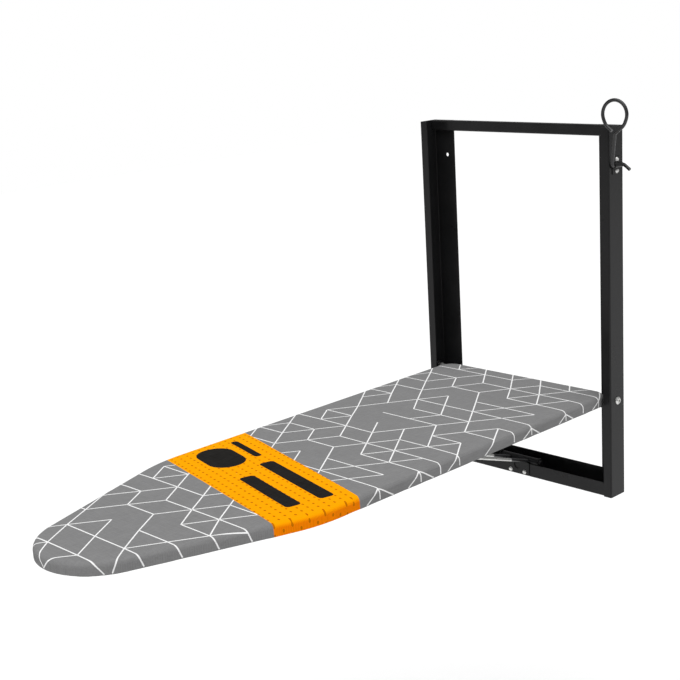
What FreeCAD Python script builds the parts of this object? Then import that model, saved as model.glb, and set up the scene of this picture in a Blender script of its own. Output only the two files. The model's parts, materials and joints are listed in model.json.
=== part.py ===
"""Wall-mounted folding ironing board.

A folded steel frame is screwed to a wall.  A padded board hinges on two shoulder bolts in the
frame's uprights.  A two-rod strut turns on a pin in the bottom bar and its top axle runs in an
open guide under the board, so the board stands level when it is down and folds up against the
top bar.  A wire cord holder swings on the right upright.

Millimetres.  +X is right, +Y points into the wall, +Z is up.  The origin lies on the wall
plane, at the centre of the four wall screws.
"""
import FreeCAD
import Part
import Sketcher
import math
import os
import re

SIZES = [
    # wall frame
    ("frame_width", 400, "outside width of the wall frame"),
    ("frame_height", 624, "height of the wall frame"),
    ("frame_depth", 40, "depth of the uprights from the wall"),
    ("frame_steel", 1.5, "sheet thickness of the frame"),
    ("bend_radius", 2.5, "outside radius of the frame's folds"),
    ("front_flange", 15, "width of an upright's front flange"),
    ("back_flange", 45, "width of an upright's flange on the wall"),
    ("screw_inset", 28, "wall screws from the frame's outside"),
    ("screw_spacing_z", 500, "wall screws, top to bottom"),
    ("screw_hole", 6.5, "diameter of a wall screw hole"),
    ("top_bar_height", 18, "height of the top bar"),
    ("top_bar_depth", 11.5, "top bar's front face from the wall"),
    ("bottom_lip", 24, "height of the bottom bar's front lip"),
    ("bottom_back", 36, "height of the bottom bar's back wall"),
    # board
    ("pivot_height", 168.5, "board pivot above the frame's bottom"),
    ("pivot_depth", 20.5, "board pivot from the wall"),
    ("board_reach", 988, "pivot to the tip of the nose"),
    ("board_overhang", 10.5, "pivot to the board's rear edge"),
    ("board_half_rear", 180, "half width at the rear edge"),
    ("board_half_shoulder", 178, "half width where the nose taper starts"),
    ("rear_corner", 28, "radius of the rear corners"),
    ("shoulder_radius", 250, "radius between side and taper"),
    ("nose_radius", 95, "radius of the nose"),
    ("taper_angle", 19.4, "angle of the nose taper to the centre line"),
    ("cover_thick", 0.8, "thickness of the cloth cover"),
    ("cover_top", 8.5, "ironing face above the pivot"),
    ("pad_thick", 6.3, "thickness of the foam pad"),
    ("panel_steel", 1.2, "sheet thickness of the board panel"),
    ("panel_rim", 11.6, "height of the panel over its rim"),
    ("hem_width", 8, "width of the cover's hem under the rim"),
    ("elastic_width", 3, "width of the elastic in the hem"),
    ("elastic_thick", 2.2, "thickness of the elastic in the hem"),
    ("soft_gap", 0.3, "gap left round soft and sliding parts"),
    ("vent_hole", 16, "diameter of a vent hole"),
    ("vent_pitch", 50, "spacing of the vent holes"),
    ("vent_rows", 13, "vent holes along the board"),
    ("vent_columns", 6, "vent holes across the board"),
    ("vent_start", 70, "pivot to the first row of vents"),
    # hinge
    ("bolt_radius", 4, "radius of a pivot bolt's shoulder"),
    ("thread_radius", 3, "radius of a pivot bolt's thread"),
    ("bolt_head", 6.5, "radius of a pivot bolt's head"),
    ("bolt_head_thick", 3.8, "height of a pivot bolt's head"),
    ("socket_across", 3, "corner radius of the hex socket"),
    ("running_gap", 0.05, "radial clearance of a running fit"),
    ("arm_steel", 3, "thickness of a hinge arm"),
    ("arm_half", 10, "half width of a hinge arm"),
    ("arm_eye", 9, "radius of a hinge arm's eye"),
    ("arm_clear", 7, "outer face of a hinge arm from the frame's outside"),
    ("arm_inside", 120, "inner end of a hinge arm's foot"),
    ("spacer_radius", 8, "radius of a pivot spacer"),
    ("nut_thick", 5, "thickness of a pivot nut"),
    ("nut_radius", 5.8, "corner radius of a pivot nut"),
    ("crossbar_half", 155, "half length of the hinge crossbar"),
    ("crossbar_front", 20, "crossbar's front face from the pivot"),
    ("crossbar_back", 1.5, "crossbar's back face behind the pivot"),
    ("arm_rivet", 2, "radius of an arm rivet"),
    ("arm_rivet_first", 12, "first arm rivet from the arm's inner end"),
    ("arm_rivet_second", 32, "second arm rivet from the arm's inner end"),
    ("arm_eye_flat", 0.6, "half width left flat on a hinge arm's eye"),
    ("arm_rivet_place", 5, "arm rivets from the pivot, towards the nose"),
    # strut
    ("foot_height", 26, "strut pin above the frame's bottom"),
    ("foot_depth", 29, "strut pin from the wall"),
    ("foot_radius", 7.5, "radius of the strut's foot tube"),
    ("foot_half", 39.5, "half length of the foot tube"),
    ("pin_radius", 3, "radius of the strut pin"),
    ("pin_end", 4, "strut pin beyond its cradle"),
    ("pin_head", 5.1, "radius of the strut pin's head"),
    ("pin_head_thick", 2, "height of the strut pin's head"),
    ("pin_clip_radius", 6, "radius of the strut pin's washer"),
    ("pin_clip_thick", 1.5, "thickness of the strut pin's washer"),
    ("strut_slope", 18.1, "angle of the strut above level"),
    ("rod_radius", 2.75, "radius of a strut rod"),
    ("rod_place", 20, "strut rod from the centre line"),
    ("axle_drop", 27, "strut's top axle below the pivot level"),
    ("axle_radius", 3, "radius of the top axle"),
    ("glide_radius", 6, "radius of a nylon glide"),
    ("glide_width", 6, "width of a nylon glide"),
    ("guide_half", 31, "half width of the strut guide"),
    ("guide_steel", 1.5, "sheet thickness of the strut guide"),
    ("guide_start", 212, "pivot to the guide's inner end"),
    ("guide_rivet_first", 25, "first guide rivet from the guide's inner end"),
    ("guide_rivet_second", 130, "second guide rivet from the guide's inner end"),
    ("buffer_thick", 6, "thickness of the stop buffer"),
    ("cradle_half", 43, "half width of the pivot cradle"),
    ("cradle_steel", 2, "sheet thickness of the pivot cradle"),
    ("cradle_eye", 9, "radius of a cradle ear's eye"),
    ("bracket_half", 26, "half width of the bracket plate"),
    ("bracket_low", 3, "bracket plate's lower edge above the frame's bottom"),
    ("bracket_high", 26, "bracket plate's upper edge above the frame's bottom"),
    ("bracket_hole", 7, "radius of the bracket plate's hole"),
    ("bracket_hole_height", 17.5, "bracket plate's hole above the frame's bottom"),
    ("bracket_rivet_x", 15.4, "bracket rivet from the centre line"),
    ("bracket_rivet_height", 7, "bracket rivets above the frame's bottom"),
    ("rivet_radius", 2, "radius of a rivet's shank"),
    ("rivet_head", 4, "radius of a rivet's head"),
    ("rivet_head_thick", 2, "height of a rivet's head"),
    ("rivet_crown", 2.4, "radius of the flat on a rivet's head"),
    ("rivet_tail", 3, "radius of a rivet's tail"),
    ("rivet_tail_thick", 1, "height of a rivet's tail"),
    # cord holder
    ("wire_radius", 2.75, "radius of the cord holder's wire"),
    ("wire_gap", 0.1, "clearance of the wire in its clip"),
    ("holder_height", 562, "holder's turning axis above the frame's bottom"),
    ("holder_rise", 83, "holder's turning axis to the ring's centre"),
    ("holder_out", 11.5, "ring's centre outside the turning axis"),
    ("ring_radius", 22.25, "radius of the ring's centre line"),
    ("ring_neck", 30.3, "ring's centre to its neck"),
    ("ring_front", 3.3, "ring's plane in front of the frame"),
    ("clip_steel", 1.2, "thickness of the holder's clip"),
    ("clip_half", 14, "half height of the holder's clip"),
    ("clip_front", 31, "clip's front edge from the wall"),
    ("clip_back", 9, "clip's back edge from the wall"),
    ("clip_rivet_z", 9, "clip rivet from the turning axis"),
    ("clip_rivet_depth", 19, "clip rivets from the wall"),
    ("stem_depth", 36, "holder's stem from the wall"),
    ("tail_depth", 4, "holder's tail from the wall"),
    ("tail_length", 15, "length of the holder's tail"),
    ("tail_droop", 36, "angle of the tail below level"),
    # cutting
    ("overrun", 1, "how far a cutting shape runs past the piece that it cuts"),
    ("sliver", 0.01, "smallest step left between two edges"),
]
# Places that several pieces share, worked out from the sizes above.
PLACES = [
    ("half_width", "frame_width / 2"),
    ("half_height", "frame_height / 2"),
    ("screw_spacing_x", "frame_width - 2 * screw_inset"),
    ("arm_outside", "half_width - arm_clear"),
    ("pivot_y", "-pivot_depth"),
    ("pivot_z", "pivot_height - frame_height / 2"),
    ("face_z", "pivot_height - frame_height / 2 + cover_top"),
    ("plate_top_z", "face_z - cover_thick - pad_thick"),
    ("plate_low_z", "plate_top_z - panel_steel"),
    ("rim_low_z", "plate_top_z - panel_rim"),
    ("cover_low_z", "rim_low_z - cover_thick"),
    ("foot_top_z", "cover_low_z - soft_gap"),
    ("foot_y", "-foot_depth"),
    ("foot_z", "foot_height - frame_height / 2"),
    ("axle_z", "pivot_z - axle_drop"),
    ("axle_y", "foot_y - (axle_z - foot_z) / tan(strut_slope * 1 deg)"),
    ("track_z", "axle_z + glide_radius + soft_gap"),
    ("buffer_y", "axle_y - glide_radius - soft_gap"),
    ("guide_y", "pivot_y - guide_start"),
    ("holder_x", "frame_width / 2 + wire_radius + 0.5"),
    ("holder_z", "holder_height - frame_height / 2"),
]

doc = FreeCAD.newDocument("WallIroningBoard")
sheet = doc.addObject("Spreadsheet::Sheet", "Sizes")
NAMES = [row[0] for row in SIZES] + [row[0] for row in PLACES]
WORD = re.compile(r"\b(" + "|".join(NAMES) + r")\b")


def tied(expression):
    """The expression with every size's name pointed at the spreadsheet."""
    return WORD.sub(r"Sizes.\1", str(expression))


def fill_sheet():
    """Write the driving sizes as numbers and the shared places as formulas."""
    for row, (alias, number, note) in enumerate(SIZES, start=1):
        sheet.set(f"A{row}", note)
        sheet.set(f"B{row}", str(number))
        sheet.setAlias(f"B{row}", alias)
    for row, (alias, formula) in enumerate(PLACES, start=len(SIZES) + 1):
        sheet.set(f"A{row}", alias.replace("_", " "))
        sheet.setAlias(f"B{row}", alias)
        sheet.set(f"B{row}", "=" + formula)
    doc.recompute()


def size(alias):
    """The number that the spreadsheet holds under a name."""
    return float(sheet.get(alias))


# ---------------------------------------------------------------- building blocks
def new_body(label):
    body = doc.addObject("PartDesign::Body", label)
    body.Label = label
    return body


def new_sketch(body, name, plane, offset=None):
    """A sketch on one of the body's own origin planes, moved along the plane's normal."""
    sketch = body.newObject("Sketcher::SketchObject", name)
    face = next(item for item in body.Origin.OriginFeatures if item.Role == plane)
    sketch.AttachmentSupport = [(face, "")]
    sketch.MapMode = "FlatFace"
    if offset is not None:
        sketch.setExpression("AttachmentOffset.Base.z", tied(offset))
    return sketch


def outline(sketch, corners):
    """A closed outline of straight edges; each corner is a pair of expressions."""
    count = len(corners)
    first = sketch.GeometryCount
    start = [FreeCAD.Vector(50 * math.cos(2 * math.pi * k / count),
                            50 * math.sin(2 * math.pi * k / count), 0) for k in range(count)]
    for k in range(count):
        sketch.addGeometry(Part.LineSegment(start[k], start[(k + 1) % count]), False)
    for k in range(count):
        following = first + (k + 1) % count
        sketch.addConstraint(Sketcher.Constraint("Coincident", first + k, 2, following, 1))
    for k, (across, up) in enumerate(corners):
        place(sketch, first + k, 1, start[k], across, up)


def place(sketch, geometry, point, start, across, up):
    """Tie one point's two coordinates to expressions."""
    for kind, value, expression in (("DistanceX", start.x, across), ("DistanceY", start.y, up)):
        constraint = Sketcher.Constraint(kind, -1, 1, geometry, point, value)
        index = sketch.addConstraint(constraint)
        sketch.setExpression(f"Constraints[{index}]", tied(expression))


def circle(sketch, across, up, radius):
    """A circle whose centre and radius are expressions."""
    start = FreeCAD.Vector(10 + sketch.GeometryCount, 10, 0)
    geometry = sketch.addGeometry(Part.Circle(start, FreeCAD.Vector(0, 0, 1), 3), False)
    place(sketch, geometry, 3, start, across, up)
    index = sketch.addConstraint(Sketcher.Constraint("Radius", geometry, 3))
    sketch.setExpression(f"Constraints[{index}]", tied(radius))


def pad(body, name, sketch, length, backwards=False):
    feature = body.newObject("PartDesign::Pad", name)
    feature.Profile = sketch
    feature.Reversed = backwards
    feature.setExpression("Length", tied(length))
    doc.recompute()
    return feature


def pad_both(body, name, sketch, length):
    """A pad that grows evenly to both sides of its sketch."""
    feature = body.newObject("PartDesign::Pad", name)
    feature.Profile = sketch
    feature.SideType = "Symmetric"
    feature.setExpression("Length", tied(length))
    doc.recompute()
    return feature


def pocket(body, name, sketch, length, backwards=False):
    """A cut of a stated depth; it stops if nothing is cut."""
    before = body.Shape.Volume
    feature = body.newObject("PartDesign::Pocket", name)
    feature.Profile = sketch
    feature.Reversed = backwards
    feature.setExpression("Length", tied(length))
    doc.recompute()
    if feature.Shape.Volume >= before - 1e-6:
        raise RuntimeError(f"{body.Label}: {name} cuts nothing")
    return feature


def drill(body, name, plane, holes):
    """Round holes right through, on both sides of an origin plane."""
    before = body.Shape.Volume
    sketch = new_sketch(body, name + "Outline", plane)
    for across, up, radius in holes:
        circle(sketch, across, up, radius)
    feature = body.newObject("PartDesign::Pocket", name)
    feature.Profile = sketch
    feature.Type = "ThroughAll"
    feature.SideType = "Symmetric"
    doc.recompute()
    if feature.Shape.Volume >= before - 1e-6:
        raise RuntimeError(f"{body.Label}: {name} cuts nothing")
    return feature


def round_edges(body, name, radius, chosen):
    """Fillet the straight edges whose middle point passes the test."""
    tip = body.Tip
    names = [f"Edge{k}" for k, edge in enumerate(tip.Shape.Edges, start=1)
             if isinstance(edge.Curve, Part.Line) and chosen(edge, edge.CenterOfMass)]
    if not names:
        raise RuntimeError(f"{body.Label}: {name} finds no edge")
    fillet = body.newObject("PartDesign::Fillet", name)
    fillet.Base = (tip, names)
    fillet.setExpression("Radius", tied(radius))
    doc.recompute()
    return fillet


def along(edge, axis):
    """Whether a straight edge runs along an axis, 0 for X, 1 for Y and 2 for Z."""
    return abs(abs(edge.Curve.Direction[axis]) - 1) < 1e-6


def near(value, target):
    return abs(value - target) < 0.01


TURN = {"x": FreeCAD.Rotation(FreeCAD.Vector(0, 1, 0), 90),
        "y": FreeCAD.Rotation(FreeCAD.Vector(1, 0, 0), -90),
        "z": FreeCAD.Rotation()}


def put(item, x, y, z, axis="z"):
    """Place a primitive: its own Z axis along a world axis, its base point by expressions."""
    item.Placement = FreeCAD.Placement(FreeCAD.Vector(), TURN[axis])
    for letter, expression in (("x", x), ("y", y), ("z", z)):
        item.setExpression(f"Placement.Base.{letter}", tied(expression))
    return item


def rod(name, radius, length, x, y, z, axis):
    """A plain cylinder that starts at a point and runs along a world axis."""
    item = doc.addObject("Part::Cylinder", name)
    item.setExpression("Radius", tied(radius))
    item.setExpression("Height", tied(length))
    return put(item, x, y, z, axis)


def cone(name, start_radius, end_radius, length, x, y, z, axis):
    item = doc.addObject("Part::Cone", name)
    item.setExpression("Radius1", tied(start_radius))
    item.setExpression("Radius2", tied(end_radius))
    item.setExpression("Height", tied(length))
    return put(item, x, y, z, axis)


def block(name, length, width, height, x, y, z):
    item = doc.addObject("Part::Box", name)
    for prop, expression in (("Length", length), ("Width", width), ("Height", height)):
        item.setExpression(prop, tied(expression))
    return put(item, x, y, z)


def joined(label, pieces, refine=True):
    item = doc.addObject("Part::MultiFuse", label)
    item.Shapes = pieces
    item.Refine = refine
    item.Label = label
    doc.recompute()
    return item


def cut(label, base, tool):
    item = doc.addObject("Part::Cut", label)
    item.Base = base
    item.Tool = tool
    item.Label = label
    doc.recompute()
    if item.Shape.Volume >= base.Shape.Volume - 1e-6:
        raise RuntimeError(f"{label}: the cut removes nothing")
    return item


def beside(spot, axis, step):
    """The three coordinates of a point that is moved by an expression along one axis."""
    return [f"({value}) + ({step})" if letter == axis else value
            for letter, value in zip("xyz", spot)]


def rivet(name, x, y, z, axis, grip, outward):
    """A rivet at a point: its head stands outward and its shank runs inward by the grip."""
    spot = (x, y, z)
    if outward > 0:
        dome = cone(name + "Dome", "rivet_head", "rivet_crown", "rivet_head_thick", *spot, axis)
        shank_start = beside(spot, axis, f"-({grip})")
        tail_start = beside(spot, axis, f"-({grip}) - rivet_tail_thick")
    else:
        low = beside(spot, axis, "-rivet_head_thick")
        dome = cone(name + "Dome", "rivet_crown", "rivet_head", "rivet_head_thick", *low, axis)
        shank_start = spot
        tail_start = beside(spot, axis, grip)
    shank = rod(name + "Shank", "rivet_radius", grip, *shank_start, axis)
    tail = rod(name + "Tail", "rivet_tail", "rivet_tail_thick", *tail_start, axis)
    return joined(name, [dome, shank, tail])


def group(label, pieces):
    """Several separate, identical solids kept together as one sub-part."""
    item = doc.addObject("Part::Compound", label)
    item.Links = pieces
    item.Label = label
    doc.recompute()
    return item


# ---------------------------------------------------------------- the wall frame
def upright(label, side):
    """One folded upright: web outside, narrow flange in front, wide flange on the wall."""
    body = new_body(label)
    base = new_sketch(body, label + "Section", "XY_Plane", "-half_height")
    outer = f"{side} * half_width"
    inner = f"{side} * (half_width - frame_steel)"
    front = f"{side} * (half_width - front_flange)"
    back = f"{side} * (half_width - back_flange)"
    outline(base, [(outer, "0"), (outer, "-frame_depth"), (front, "-frame_depth"),
                   (front, "-frame_depth + frame_steel"), (inner, "-frame_depth + frame_steel"),
                   (inner, "-frame_steel"), (back, "-frame_steel"), (back, "0")])
    pad(body, label + "Pad", base, "frame_height")
    edge_x = side * size("half_width")
    inner_x = side * (size("half_width") - size("frame_steel"))
    round_edges(body, label + "OuterFold", "bend_radius",
                lambda edge, mid: along(edge, 2) and near(mid.x, edge_x))
    round_edges(body, label + "InnerFold", "bend_radius - frame_steel",
                lambda edge, mid: along(edge, 2) and near(mid.x, inner_x))
    screw_x = f"{side} * screw_spacing_x / 2"
    drill(body, label + "Screws", "XZ_Plane",
          [(screw_x, "screw_spacing_z / 2", "screw_hole / 2"),
           (screw_x, "-screw_spacing_z / 2", "screw_hole / 2")])
    holes = [("pivot_y", "pivot_z", "bolt_radius + running_gap")]
    if side > 0:
        holes += [("-clip_rivet_depth", f"holder_z {sign} clip_rivet_z", "rivet_radius")
                  for sign in "+-"]
    drill(body, label + "Bores", "YZ_Plane", holes)
    return body


def top_bar():
    """A folded bar across the top, open to the wall, that the folded board leans on."""
    body = new_body("top_bar")
    low = "half_height - top_bar_height"
    back = "-frame_steel"
    front = "-top_bar_depth"
    inside = "-top_bar_depth + frame_steel"
    base = new_sketch(body, "TopBarSection", "YZ_Plane")
    outline(base, [(back, "half_height"), (front, "half_height"), (front, low), (back, low),
                   (back, f"{low} + frame_steel"), (inside, f"{low} + frame_steel"),
                   (inside, "half_height - frame_steel"), (back, "half_height - frame_steel")])
    pad_both(body, "TopBarPad", base, "2 * (half_width - bend_radius)")
    front_y = -size("top_bar_depth")
    round_edges(body, "TopBarFold", "bend_radius",
                lambda edge, mid: along(edge, 0) and near(mid.y, front_y))
    return body


def bottom_bar():
    """A folded trough across the bottom: low lip in front, higher wall at the back."""
    body = new_body("bottom_bar")
    front = "-frame_depth + frame_steel"
    back = "-frame_steel"
    floor_z = "-half_height"
    base = new_sketch(body, "BottomBarSection", "YZ_Plane")
    outline(base, [(back, floor_z), (back, f"{floor_z} + bottom_back"),
                   (f"{back} - frame_steel", f"{floor_z} + bottom_back"),
                   (f"{back} - frame_steel", f"{floor_z} + frame_steel"),
                   (f"{front} + frame_steel", f"{floor_z} + frame_steel"),
                   (f"{front} + frame_steel", f"{floor_z} + bottom_lip"),
                   (front, f"{floor_z} + bottom_lip"), (front, floor_z)])
    pad_both(body, "BottomBarPad", base, "2 * (half_width - bend_radius)")
    low = -size("half_height")
    round_edges(body, "BottomBarFold", "bend_radius",
                lambda edge, mid: along(edge, 0) and near(mid.z, low))
    drill(body, "BottomBarRivetHoles", "XZ_Plane",
          [(f"{sign}bracket_rivet_x", f"{floor_z} + bracket_rivet_height", "rivet_radius")
           for sign in ("", "-")])
    return body


def strut_bracket():
    """The flat plate riveted to the bottom bar's lip in front of the strut's foot."""
    body = new_body("strut_bracket")
    low = "-half_height + bracket_low"
    high = "-half_height + bracket_high"
    base = new_sketch(body, "BracketOutline", "XZ_Plane", "frame_depth - frame_steel")
    outline(base, [("-bracket_half", low), ("bracket_half", low), ("bracket_half", high),
                   ("-bracket_half", high)])
    pad(body, "BracketPad", base, "frame_steel")
    top = -size("half_height") + size("bracket_high")
    round_edges(body, "BracketCorners", "bend_radius",
                lambda edge, mid: along(edge, 1) and near(mid.z, top))
    holes = [("0", "-half_height + bracket_hole_height", "bracket_hole")]
    holes += [(f"{sign}bracket_rivet_x", "-half_height + bracket_rivet_height", "rivet_radius")
              for sign in ("", "-")]
    drill(body, "BracketHoles", "XZ_Plane", holes)
    return body


def pivot_cradle():
    """A bent cradle on the bottom bar's floor whose two ears carry the strut pin."""
    body = new_body("pivot_cradle")
    floor_z = "-half_height + frame_steel"
    ear = new_sketch(body, "CradleEar", "YZ_Plane", "cradle_half - cradle_steel")
    ear_front = "foot_y - cradle_eye"
    ear_back = "foot_y + cradle_eye"
    outline(ear, [(ear_front, "-half_height + bottom_lip + cradle_steel"), (ear_back, floor_z),
                  (ear_back, "foot_z + cradle_eye"), (ear_front, "foot_z + cradle_eye")])
    # The ear's front edge stays behind the lip; its foot starts at the cradle's floor.
    pad(body, "CradleEarPad", ear, "cradle_steel")
    mirror = body.newObject("PartDesign::Mirrored", "CradleEars")
    mirror.Originals = [body.getObject("CradleEarPad")]
    plane = next(item for item in body.Origin.OriginFeatures if item.Role == "YZ_Plane")
    mirror.MirrorPlane = (plane, [""])
    body.Tip = mirror
    doc.recompute()
    floor = new_sketch(body, "CradleFloor", "XY_Plane", floor_z)
    floor_front = "foot_y - cradle_eye + 2 * cradle_steel"
    outline(floor, [("-cradle_half", floor_front), ("cradle_half", floor_front),
                    ("cradle_half", ear_back), ("-cradle_half", ear_back)])
    pad(body, "CradleFloorPad", floor, "cradle_steel")
    top = size("foot_z") + size("cradle_eye")
    round_edges(body, "CradleEyes", "cradle_eye - sliver",
                lambda edge, mid: along(edge, 0) and near(mid.z, top))
    drill(body, "CradleBore", "YZ_Plane", [("foot_y", "foot_z", "pin_radius")])
    return body


def strut_pin():
    """The pin that the strut turns on, with a head at its right end."""
    shaft = rod("StrutPinShaft", "pin_radius", "2 * cradle_half + pin_end",
                "-cradle_half - pin_end", "foot_y", "foot_z", "x")
    head = cone("StrutPinHead", "pin_head", "pin_head - overrun", "pin_head_thick", "cradle_half",
                "foot_y", "foot_z", "x")
    return joined("strut_pin", [shaft, head])


def pin_clip():
    """The push-on washer that keeps the strut pin in its cradle."""
    disc = rod("PinClipDisc", "pin_clip_radius", "pin_clip_thick", "-cradle_half - pin_clip_thick",
               "foot_y", "foot_z", "x")
    bore = rod("PinClipBore", "pin_radius", "pin_clip_thick + 2 * overrun",
               "-cradle_half - pin_clip_thick - overrun", "foot_y", "foot_z", "x")
    return cut("pin_clip", disc, bore)


def bracket_rivets():
    """Two rivets through the bracket plate and the bottom bar's lip."""
    grip = "2 * frame_steel"
    height = "-half_height + bracket_rivet_height"
    return group("bracket_rivets", [
        rivet(f"BracketRivet{name}", f"{sign}bracket_rivet_x", "-frame_depth", height, "y", grip, -1)
        for name, sign in (("Right", ""), ("Left", "-"))])


# ---------------------------------------------------------------- the cord holder
def cord_clip():
    """A pressed plate that holds the wire against the right upright and lets it turn."""
    length = "clip_front - clip_back"
    flat = block("ClipFlat", "clip_steel", length, "2 * clip_half", "half_width", "-clip_front",
                 "holder_z - clip_half")
    shell = rod("ClipShell", "wire_radius + wire_gap + clip_steel", length, "holder_x",
                "-clip_front", "holder_z", "y")
    web = block("ClipWeb", "holder_x - half_width", length,
                "2 * (wire_radius + wire_gap + clip_steel)", "half_width", "-clip_front",
                "holder_z - wire_radius - wire_gap - clip_steel")
    solid = joined("ClipSolid", [flat, shell, web])
    through, start = f"{length} + 2 * overrun", "-clip_front - overrun"
    bore = rod("ClipBore", "wire_radius + wire_gap", through, "holder_x", start, "holder_z", "y")
    slot = block("ClipSlot", "holder_x - half_width + overrun", through,
                 "2 * (wire_radius + wire_gap)", "half_width - overrun", start,
                 "holder_z - wire_radius - wire_gap")
    behind = block("ClipBehind", "clip_half", through, "4 * clip_half", "half_width - clip_half",
                   start, "holder_z - 2 * clip_half")
    holes = [rod(f"ClipHole{name}", "rivet_radius", "clip_steel + 2 * overrun",
                 "half_width - overrun", "-clip_rivet_depth", f"holder_z {sign} clip_rivet_z", "x")
             for name, sign in (("Up", "+"), ("Low", "-"))]
    return cut("cord_clip", solid, joined("ClipTools", [bore, slot, behind, *holes], False))


def clip_rivets():
    """Two rivets through the clip and the right upright."""
    return group("clip_rivets", [
        rivet(f"ClipRivet{name}", "half_width + clip_steel", "-clip_rivet_depth",
              f"holder_z {sign} clip_rivet_z", "x", "frame_steel + clip_steel", 1)
        for name, sign in (("Up", "+"), ("Low", "-"))])


def bent_wire(points, radii, wire):
    """A round wire along straight runs joined by tangent arcs; each inner point has a radius."""
    edges = []
    start = points[0]
    for k in range(1, len(points) - 1):
        before = (points[k - 1] - points[k]).normalize()
        after = (points[k + 1] - points[k]).normalize()
        half_open = before.getAngle(after) / 2
        reach = radii[k - 1] / math.tan(half_open)
        first = points[k] + before * reach
        last = points[k] + after * reach
        middle_way = (before + after).normalize()
        middle = points[k] + middle_way * (radii[k - 1] / math.sin(half_open) - radii[k - 1])
        edges.append(Part.LineSegment(start, first).toShape())
        edges.append(Part.Arc(first, middle, last).toShape())
        start = last
    edges.append(Part.LineSegment(start, points[-1]).toShape())
    path = Part.Wire(edges)
    direction = (points[1] - points[0]).normalize()
    profile = Part.Wire([Part.makeCircle(wire, points[0], direction)])
    solid = path.makePipeShell([profile], True, False)
    expected = math.pi * wire ** 2 * path.Length
    if abs(solid.Volume / expected - 1) > 0.02:
        raise RuntimeError("the bent wire's volume is wrong")
    return solid


def cord_holder():
    """One bent wire: tail, the run that turns in the clip, the stem and the ring."""
    axis_x, axis_z = size("holder_x"), size("holder_z")
    stem_y, tail_y = -size("stem_depth"), -size("tail_depth")
    ring_y = -size("frame_depth") - size("ring_front") - size("wire_radius") / 2
    ring, wire = size("ring_radius"), size("wire_radius")
    droop = math.radians(size("tail_droop"))
    centre = FreeCAD.Vector(axis_x + size("holder_out"), ring_y, axis_z + size("holder_rise"))
    tail = FreeCAD.Vector(axis_x + size("tail_length") * math.cos(droop), tail_y,
                          axis_z - size("tail_length") * math.sin(droop))
    # The stem leans from the clip to the neck under the ring.  The ring is an octagon of runs
    # whose corners are rounded right up to a circle, and it ends just short of the stem.
    neck = centre + FreeCAD.Vector(0, 0, -size("ring_neck"))
    corner_reach = ring / math.cos(math.radians(22.5))
    corners = [centre + FreeCAD.Vector(math.cos(turn), 0, math.sin(turn)) * corner_reach
               for turn in (math.radians(angle) for angle in range(-45, 226, 45))]
    end = neck + (corners[-1] - neck).normalize() * (2.6 * wire)
    points = [tail, FreeCAD.Vector(axis_x, tail_y, axis_z), FreeCAD.Vector(axis_x, stem_y, axis_z),
              neck, *corners, end]
    tight = 1.3 * wire
    radii = [tight, tight, tight, *[ring * 0.98] * len(corners)]
    item = doc.addObject("Part::Feature", "cord_holder")
    item.Shape = bent_wire(points, radii, wire)
    item.Label = "cord_holder"
    return item


# ---------------------------------------------------------------- the board's hinge
def pivot_bolt(label, side):
    """A shoulder bolt: domed hex-socket head outside the web, shoulder inside, thread at the end."""
    face = f"{side} * half_width"
    end = f"{side} * (arm_outside - arm_steel - soft_gap)"
    tip = f"{side} * (arm_outside - arm_steel - soft_gap - nut_thick)"

    def run(name, radius, inner, outer):
        """A cylinder between two distances from the centre plane, on this bolt's side."""
        low = inner if side > 0 else outer
        return rod(label + name, radius, f"abs(({outer}) - ({inner}))", low, "pivot_y", "pivot_z", "x")

    shoulder = run("Shoulder", "bolt_radius", end, face)
    thread = run("Thread", "thread_radius", tip, end)
    rim = run("Rim", "bolt_head", face, f"{face} + {side} * bolt_head_thick * 0.4")
    dome_low = f"{face} + {side} * bolt_head_thick * 0.4"
    dome_high = f"{face} + {side} * bolt_head_thick"
    if side > 0:
        dome = cone(label + "Dome", "bolt_head", "bolt_head * 0.62", "bolt_head_thick * 0.6",
                    dome_low, "pivot_y", "pivot_z", "x")
    else:
        dome = cone(label + "Dome", "bolt_head * 0.62", "bolt_head", "bolt_head_thick * 0.6",
                    dome_high, "pivot_y", "pivot_z", "x")
    bolt = joined(label + "Solid", [shoulder, thread, rim, dome])
    socket = doc.addObject("Part::Prism", label + "Socket")
    socket.Polygon = 6
    socket.setExpression("Circumradius", tied("socket_across"))
    socket.setExpression("Height", tied("bolt_head_thick * 0.6"))
    put(socket, f"{dome_high} - {'bolt_head_thick * 0.6' if side > 0 else '0'}", "pivot_y",
        "pivot_z", "x")
    return cut(label, bolt, socket)


def pivot_spacer(label, side):
    """The nylon washer between the upright's web and the hinge arm."""
    length = "half_width - frame_steel - arm_outside - 2 * soft_gap"
    low = "arm_outside + soft_gap" if side > 0 else "-half_width + frame_steel + soft_gap"
    ring = rod(label + "Ring", "spacer_radius", length, low, "pivot_y", "pivot_z", "x")
    bore = rod(label + "Bore", "bolt_radius", f"{length} + 2 * overrun", f"{low} - overrun",
               "pivot_y", "pivot_z", "x")
    return cut(label, ring, bore)


def pivot_nut(label, side):
    """The lock nut on the bolt's thread, tight against its shoulder."""
    low = "arm_outside - arm_steel - soft_gap - nut_thick"
    if side < 0:
        low = "-(arm_outside - arm_steel - soft_gap)"
    nut = doc.addObject("Part::Prism", label + "Hex")
    nut.Polygon = 6
    nut.setExpression("Circumradius", tied("nut_radius"))
    nut.setExpression("Height", tied("nut_thick"))
    put(nut, low, "pivot_y", "pivot_z", "x")
    bore = rod(label + "Bore", "thread_radius", "nut_thick + 2 * overrun", f"{low} - overrun",
               "pivot_y", "pivot_z", "x")
    return cut(label, nut, bore)


ARM_RIVET_STEPS = ("arm_rivet_first", "arm_rivet_second")


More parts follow.
